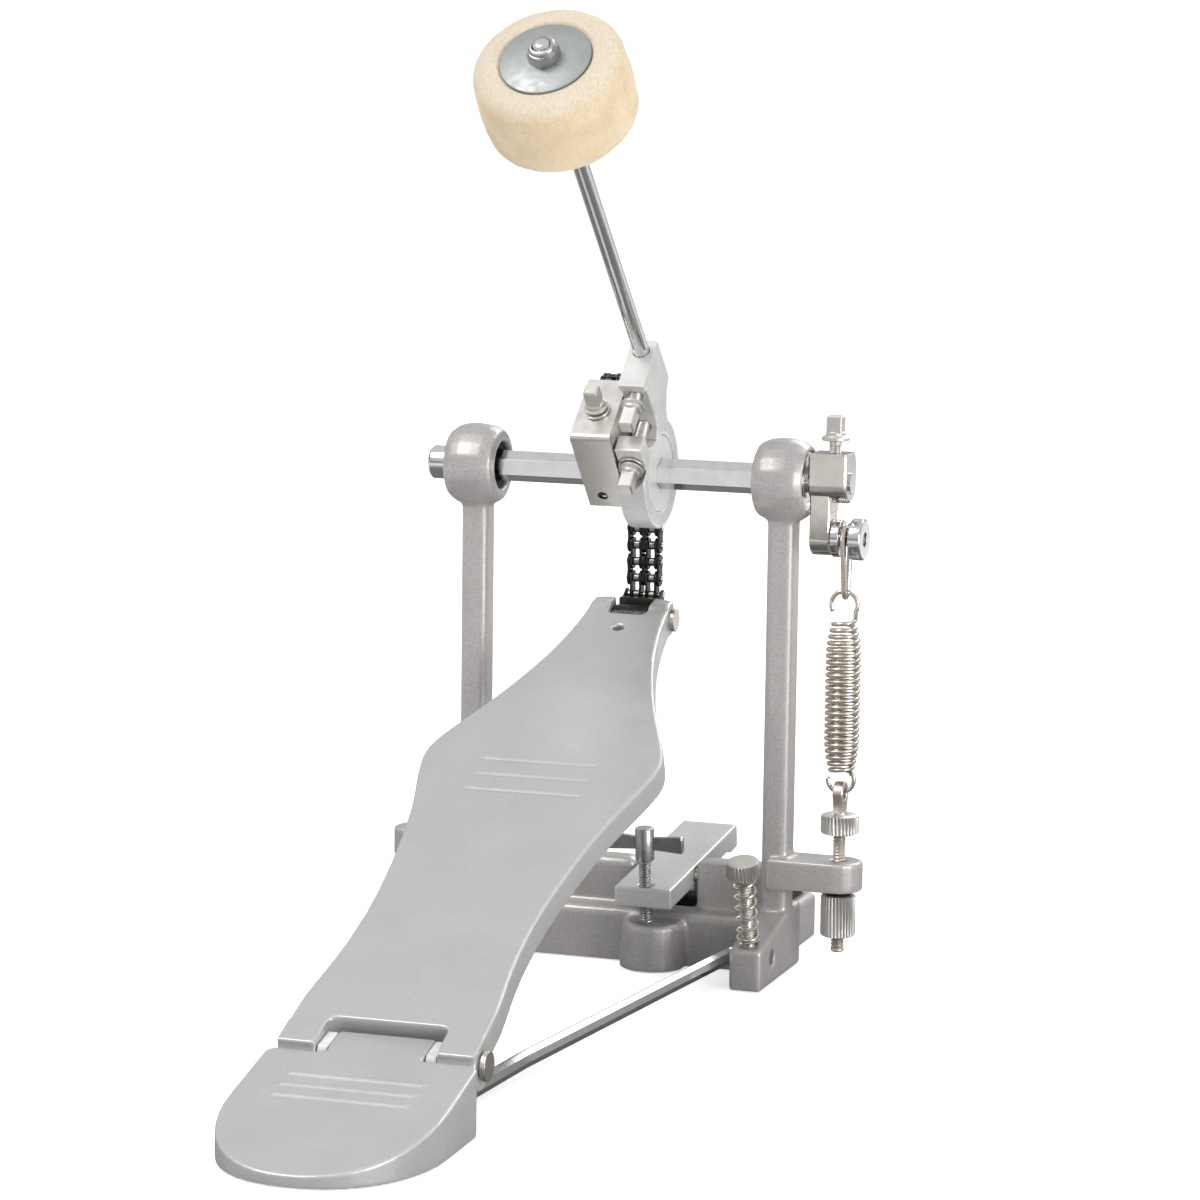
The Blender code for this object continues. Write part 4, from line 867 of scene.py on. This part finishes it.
def beater_wool(washer_top, low, high):
    """Pressed-wool cylinder with soft rims, slightly barrelled and uneven, sunk under its front washer."""
    radius, rim, barrel = 26.8, 6.6, 0.35
    inner, side = radius - rim, high - low - 2 * rim
    quarter = [math.pi / 2 * i / 9 for i in range(10)]
    down = [i / 14 for i in range(1, 14)]
    profile = [(3.2, washer_top - 0.1), (15.2, washer_top - 0.1), (16.3, washer_top + 0.2)]
    profile += [(17.0, high - 0.2), *((17.8 + 0.8 * i, high) for i in range(3))]
    profile += [(inner + rim * math.sin(a), high - rim + rim * math.cos(a)) for a in quarter]
    profile += [(radius + barrel * math.sin(math.pi * t), high - rim - side * t) for t in down]
    profile += [(inner + rim * math.cos(a), low + rim - rim * math.sin(a)) for a in quarter]
    profile += [(17.0, low), (12.5, low), (8, low + 0.1), (3.2, low + 0.2)]

    def lumps(r, a, z):
        at = Vector((r * math.cos(a), r * math.sin(a), z))
        share = min(1.0, max(0.0, (r - 15) / 8))
        broad, middling, fine = noise.noise(at / 13), noise.noise(at / 4.5), noise.noise(at / 1.4)
        return r + share * (0.35 * broad + 0.22 * middling + 0.1 * fine)

    verts, faces = lathe(profile, 144, lumps, ring=True)
    felt = piece("beater_felt_wool", verts, faces, "beater_felt", place=BEATER_AXIS, smooth=180)
    for v in felt.data.vertices:
        at = v.co / MM
        flat = min(1.0, max(0.0, (math.hypot(at.x, at.y) - 16.5) / 3))
        v.co.z += flat * (0.3 * noise.noise(at / 10) + 0.12 * noise.noise(at / 2.2)) * MM


def beater_washer(low, high):
    disc = [(3.1, high), (15.6, high), (16.0, high - 0.25), (16.1, high - 0.7), (15.9, low), (3.1, low)]
    piece("felt_washer_front_disc", *lathe(disc, 96, ring=True), "felt_washer_front", [ZINC], BEATER_AXIS)


def beater_nut(base):
    """Hexagonal nut with chamfered corners and a locking collar."""
    half_flats = 5.0

    def hexagon(r, a, z):
        return min(r, half_flats / math.cos((a + math.pi / 6) % (math.pi / 3) - math.pi / 6))

    rings = [(3.0, base), (5.2, base), (9, base + 0.3), (9, base + 4.0), (5.0, base + 4.5)]
    rings += [(4.7, base + 4.6), (4.7, base + 5.6), (4.3, base + 6.1), (3.4, base + 6.2), (3.1, base + 5.8)]
    verts, faces = lathe(rings, 72, hexagon, ring=True)
    piece("beater_lock_nut", verts, faces, "beater_nut", [WORN_STEEL], BEATER_AXIS)


def beater_rod(felt_low):
    """Steel rod, plain up to the felt and threaded inside it."""
    foot, tip = span("beater_rod", BEATER_AXIS)
    start = felt_low - 3
    line = [(0.3, foot), (2.6, foot), (3.0, foot + 0.4), (3.0, start)]
    line += steps(2.95, start + 0.5, tip - 0.8, 0.16) + [(2.1, tip - 0.2), (1.6, tip), (0.3, tip)]
    verts, faces = lathe(line, 40, thread(1.0, 0.45, start + 0.5, tip - 0.5))
    piece("beater_rod_threaded", verts, faces, "beater_rod", place=BEATER_AXIS)


def beater():
    """The felt stands a little proud of its CAD solid, so that its rims can be soft."""
    low, high = span("beater_felt", BEATER_AXIS)
    washer_low, washer_high = span("felt_washer_front", BEATER_AXIS)
    felt_low, felt_high = low - 0.4, high + 1.5
    beater_wool(high, felt_low, felt_high)
    beater_washer(washer_low, washer_high)
    beater_nut(washer_high + 0.1)
    beater_rod(felt_low)


# ---------------------------------------------------------------- toe anchor

def toe_anchor():
    """Sleeve on the toe pin, a bridge behind it, and two thin cheeks that hold the end pin of the chain."""
    toe = in_side_view(TOE)
    end = in_side_view(joint_at("chain_hang")) - Vector((0, PITCH * (HANGING_PINS - 1)))
    chain_x = centre("chain_run").x / MM
    sleeve = lathe([(2.6, 7.1), (4.4, 7.1), (4.7, 6.8), (4.7, -6.8), (4.4, -7.1), (2.6, -7.1)], 48, ring=True)
    square = HINGE_LINE.cross(X_AXIS + Z_AXIS)
    turn = sideways(0, 0, 0).inverted() @ local_frame(TOE, square, HINGE_LINE.cross(square))
    low, high = chain_x - 7.6, chain_x + 7.6

    def from_toe(*corners):
        return [(toe.x + back, toe.y + up) for back, up in corners]

    tongue = from_toe((3.6, -2.6), (9.2, -2.6), (9.2, 2.4), (3.6, 2.4))
    bridge = from_toe((8.6, -3.5), (11.2, -3.5), (11.2, 6.2), (8.6, 6.2))
    cheek = from_toe((8.8, -3.3), (11, -3.3)) + arc(*end, 2.2, -60, 110, 12) + from_toe((8.8, 3.5))
    shapes = [slab(tongue, chain_x - 2.2, chain_x + 10.5, 0.4), slab(bridge, low, high, 0.5)]
    shapes += [slab(cheek, chain_x + start, chain_x + start + 0.9, 0.2) for start in (6.6, -7.5)]
    piece("toe_anchor_forging", *together((sleeve, turn), *shapes), "toe_anchor", place=sideways(0, 0, 0))


# ---------------------------------------------------------------- rocker lever

def rocker_lever():
    """Clamp block on the shaft's end, blended into the arm that carries the roller."""
    drop = (centre("rocker_roller").z - SHAFT.z) / MM
    low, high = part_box("rocker_lever")
    left, top = low.x / MM, (high.z - SHAFT.z) / MM
    block = arc(0, 0, 7.4, 180, 360, 20) + [(7.4, 6.5), (5.6, top), (-6.6, top), (-7.4, top - 0.8)]
    arm = arc(0, drop, 6.4, 180, 360, 20) + [(5.4, drop + 8), (5.9, -3), (6, 0)]
    arm += [(-x, y) for x, y in reversed(arm[-3:])]
    web = [(-5.6, -5), (-4.6, -11), (4.6, -11), (5.6, -5)]
    wedge = slab(web, left + 0.8, left + 8.6, 0.5)
    made = together(slab(block, left, left + 14.4, 0.7), slab(arm, left + 0.5, left + 8.0, 0.5), wedge)
    flat_faces(piece("rocker_lever_forging", *made, "rocker_lever", [WARM_NICKEL], sideways(0, 0, SHAFT.z)))


# ---------------------------------------------------------------- kept CAD nodes

def smooth_pieces():
    """The CAD shapes that are right as they are, with rounded edges."""
    for node in ("drive_shaft", "cam_bracket", "chain_cam", "hub_insert"):
        refined(node, 0.3)
    for node in ("heel_pin", "toe_pin"):
        refined(node, 0.2, SPRING_WIRE)
    for node in ("shaft_cap", "cam_washer", "hub_clamp_washer", "rocker_roller", "lock_washer", "clamp_pin"):
        refined(node, 0.2)
    for node in ("rocker_cap_screw", "hoop_pad"):
        refined(node, 0.3)
    refined("felt_washer_back", 0.3, ZINC)
    for side in ("left", "right"):
        refined(f"shaft_bearing_{side}", 0.15)
        refined(f"shaft_seal_{side}", 0.3)
    refined("radius_rod", 0)
    refined("spring_link", 0, SPRING_WIRE)


# ---------------------------------------------------------------- studio

AZIMUTH, ELEVATION, ROLL = 18.82, 8.37, 0.75
TARGET = Vector((-11.12, 0, 135.17)) * MM
DISTANCE = 1.5724
LENS_MM = 126.0
FLOOR_GLOW = 0.6  # the floor's own light, as the camera sees it
FLOOR_BOUNCE = 0.12  # and as the object's undersides see it
FLOOR_RADIUS, FLOOR_DROP = 6000, 0.4
WORLD_STRENGTH = 0.85
WORLD_WHITE = 1.3  # the backdrop that the camera sees
WORLD_STOPS = ((0.0, 0.8), (0.03, 0.3), (0.14, 0.25), (0.2, 0.7), (0.42, 0.75), (1.0, 0.85))


def camera():
    """The camera at the photograph's viewing angle."""
    a, e = math.radians(AZIMUTH), math.radians(ELEVATION)
    forward = Vector((-math.sin(a) * math.cos(e), math.cos(a) * math.cos(e), -math.sin(e)))
    right = Vector((math.cos(a), math.sin(a), 0))
    up = right.cross(forward)
    data = bpy.data.cameras.new("photo_camera")
    data.lens = LENS_MM
    data.sensor_width = 36
    data.clip_start = 0.05
    data.clip_end = 20
    view = bpy.data.objects.new("photo_camera", data)
    turn = Matrix((right, up, -forward)).transposed().to_4x4()
    roll = Matrix.Rotation(math.radians(ROLL), 4, "Z")
    view.matrix_world = Matrix.Translation(TARGET - forward * DISTANCE) @ turn @ roll
    bpy.context.scene.collection.objects.link(view)
    bpy.context.scene.camera = view


def softbox(name, at, size, power, look_at=(0, -0.08, 0.13)):
    """A rectangular area light that faces the pedal; size in metres and power in watts."""
    data = bpy.data.lights.new(name, "AREA")
    data.shape = "RECTANGLE"
    data.size, data.size_y = size
    data.energy = power
    lamp = bpy.data.objects.new(name, data)
    lamp.location = at
    lamp.rotation_euler = (Vector(look_at) - Vector(at)).to_track_quat("-Z", "Y").to_euler()
    bpy.context.scene.collection.objects.link(lamp)


def floor_material():
    """Pale floor. Seen in the metal it is dark near the pedal and bright far off: painted shade that only
    reflections see.
    """
    n = Nodes("pale_floor")
    tone = n.mix(n.spread(n.noise(300), 0, 1), (0.86, 0.86, 0.86), (0.88, 0.88, 0.88))
    reach = n.add("ShaderNodeVectorMath", operation="LENGTH")
    n.link(n.add("ShaderNodeNewGeometry").outputs["Position"], reach.inputs[0])
    # painted shade: in reflections the floor is darker near the pedal
    mirrored_shade = n.mix(n.spread(reach.outputs["Value"], 0, 1, 0.3, 0.9), (0.16, 0.16, 0.16), (0.85, 0.85, 0.85))
    rays = n.add("ShaderNodeLightPath")
    seen = n.mix(rays.outputs["Is Glossy Ray"], tone, mirrored_shade)
    made = n.finish(seen, 0.0, 0.8, Emission_Color=(1, 1, 1, 1))
    glow = n.add("ShaderNodeMath", operation="MAXIMUM")
    n.link(n.spread(rays.outputs["Is Camera Ray"], 0, FLOOR_GLOW, 0, 1), glow.inputs[0])
    n.link(n.spread(rays.outputs["Is Diffuse Ray"], 0, FLOOR_BOUNCE, 0, 1), glow.inputs[1])
    n.link(glow.outputs["Value"], n.shader.inputs["Emission Strength"])
    return made


def studio_floor():
    floor = bpy.data.objects.new("studio_floor", bpy.data.meshes.new("studio_floor"))
    segments = 64
    verts, faces = lathe([(FLOOR_RADIUS, 0), (3, 0)], segments)
    outer_lid = segments  # lathe's first lid would cover the whole floor a second time
    floor.data.from_pydata(verts, [], faces[:outer_lid] + faces[outer_lid + 1:])
    floor.location.z = -FLOOR_DROP * MM
    floor.data.materials.append(floor_material())
    bpy.context.scene.collection.objects.link(floor)


def studio_world():
    """A light tent, grey by height for the plated metal to mirror, and white to the camera."""
    world = bpy.data.worlds.new("studio_world")
    bpy.context.scene.world = world
    world.use_nodes = True
    tree = world.node_tree
    background = tree.nodes["Background"]
    coord = tree.nodes.new("ShaderNodeTexCoord")
    split = tree.nodes.new("ShaderNodeSeparateXYZ")
    ramp = tree.nodes.new("ShaderNodeValToRGB")
    tree.links.new(coord.outputs["Generated"], split.inputs["Vector"])
    tree.links.new(split.outputs["Z"], ramp.inputs["Fac"])
    for _ in WORLD_STOPS[2:]:
        ramp.color_ramp.elements.new(0.5)
    for element, (position, grey) in zip(ramp.color_ramp.elements, WORLD_STOPS):
        element.position = position
        element.color = (grey, grey, grey * 1.01, 1)
    path = tree.nodes.new("ShaderNodeLightPath")
    mix = tree.nodes.new("ShaderNodeMix")
    mix.data_type = "RGBA"
    tree.links.new(path.outputs["Is Camera Ray"], mix.inputs["Factor"])
    tree.links.new(ramp.outputs["Color"], mix.inputs["A"])
    mix.inputs["B"].default_value = (WORLD_WHITE, WORLD_WHITE, WORLD_WHITE, 1)
    tree.links.new(mix.outputs["Result"], background.inputs["Color"])
    background.inputs["Strength"].default_value = WORLD_STRENGTH


def studio():
    studio_floor()
    studio_world()
    softbox("key_light", (-0.7, -0.9, 1.5), (0.8, 0.8), 14)
    softbox("fill_light", (1.5, -0.75, 0.4), (0.8, 0.8), 13)
    softbox("rim_light", (0.4, 1.3, 1.1), (1.2, 0.6), 9)
    bpy.context.scene.view_settings.view_transform = "Standard"


castings()
chain()
tension_spring()
for label in ("left", "right"):
    spur(label)
knurled_nut("upper_knurled_nut")
knurled_nut("lower_knurled_nut")
tension_rod()
screws()
wing_bolt()
beater()
rocker_lever()
toe_anchor()
smooth_pieces()
camera()
studio()
bpy.context.view_layer.update()
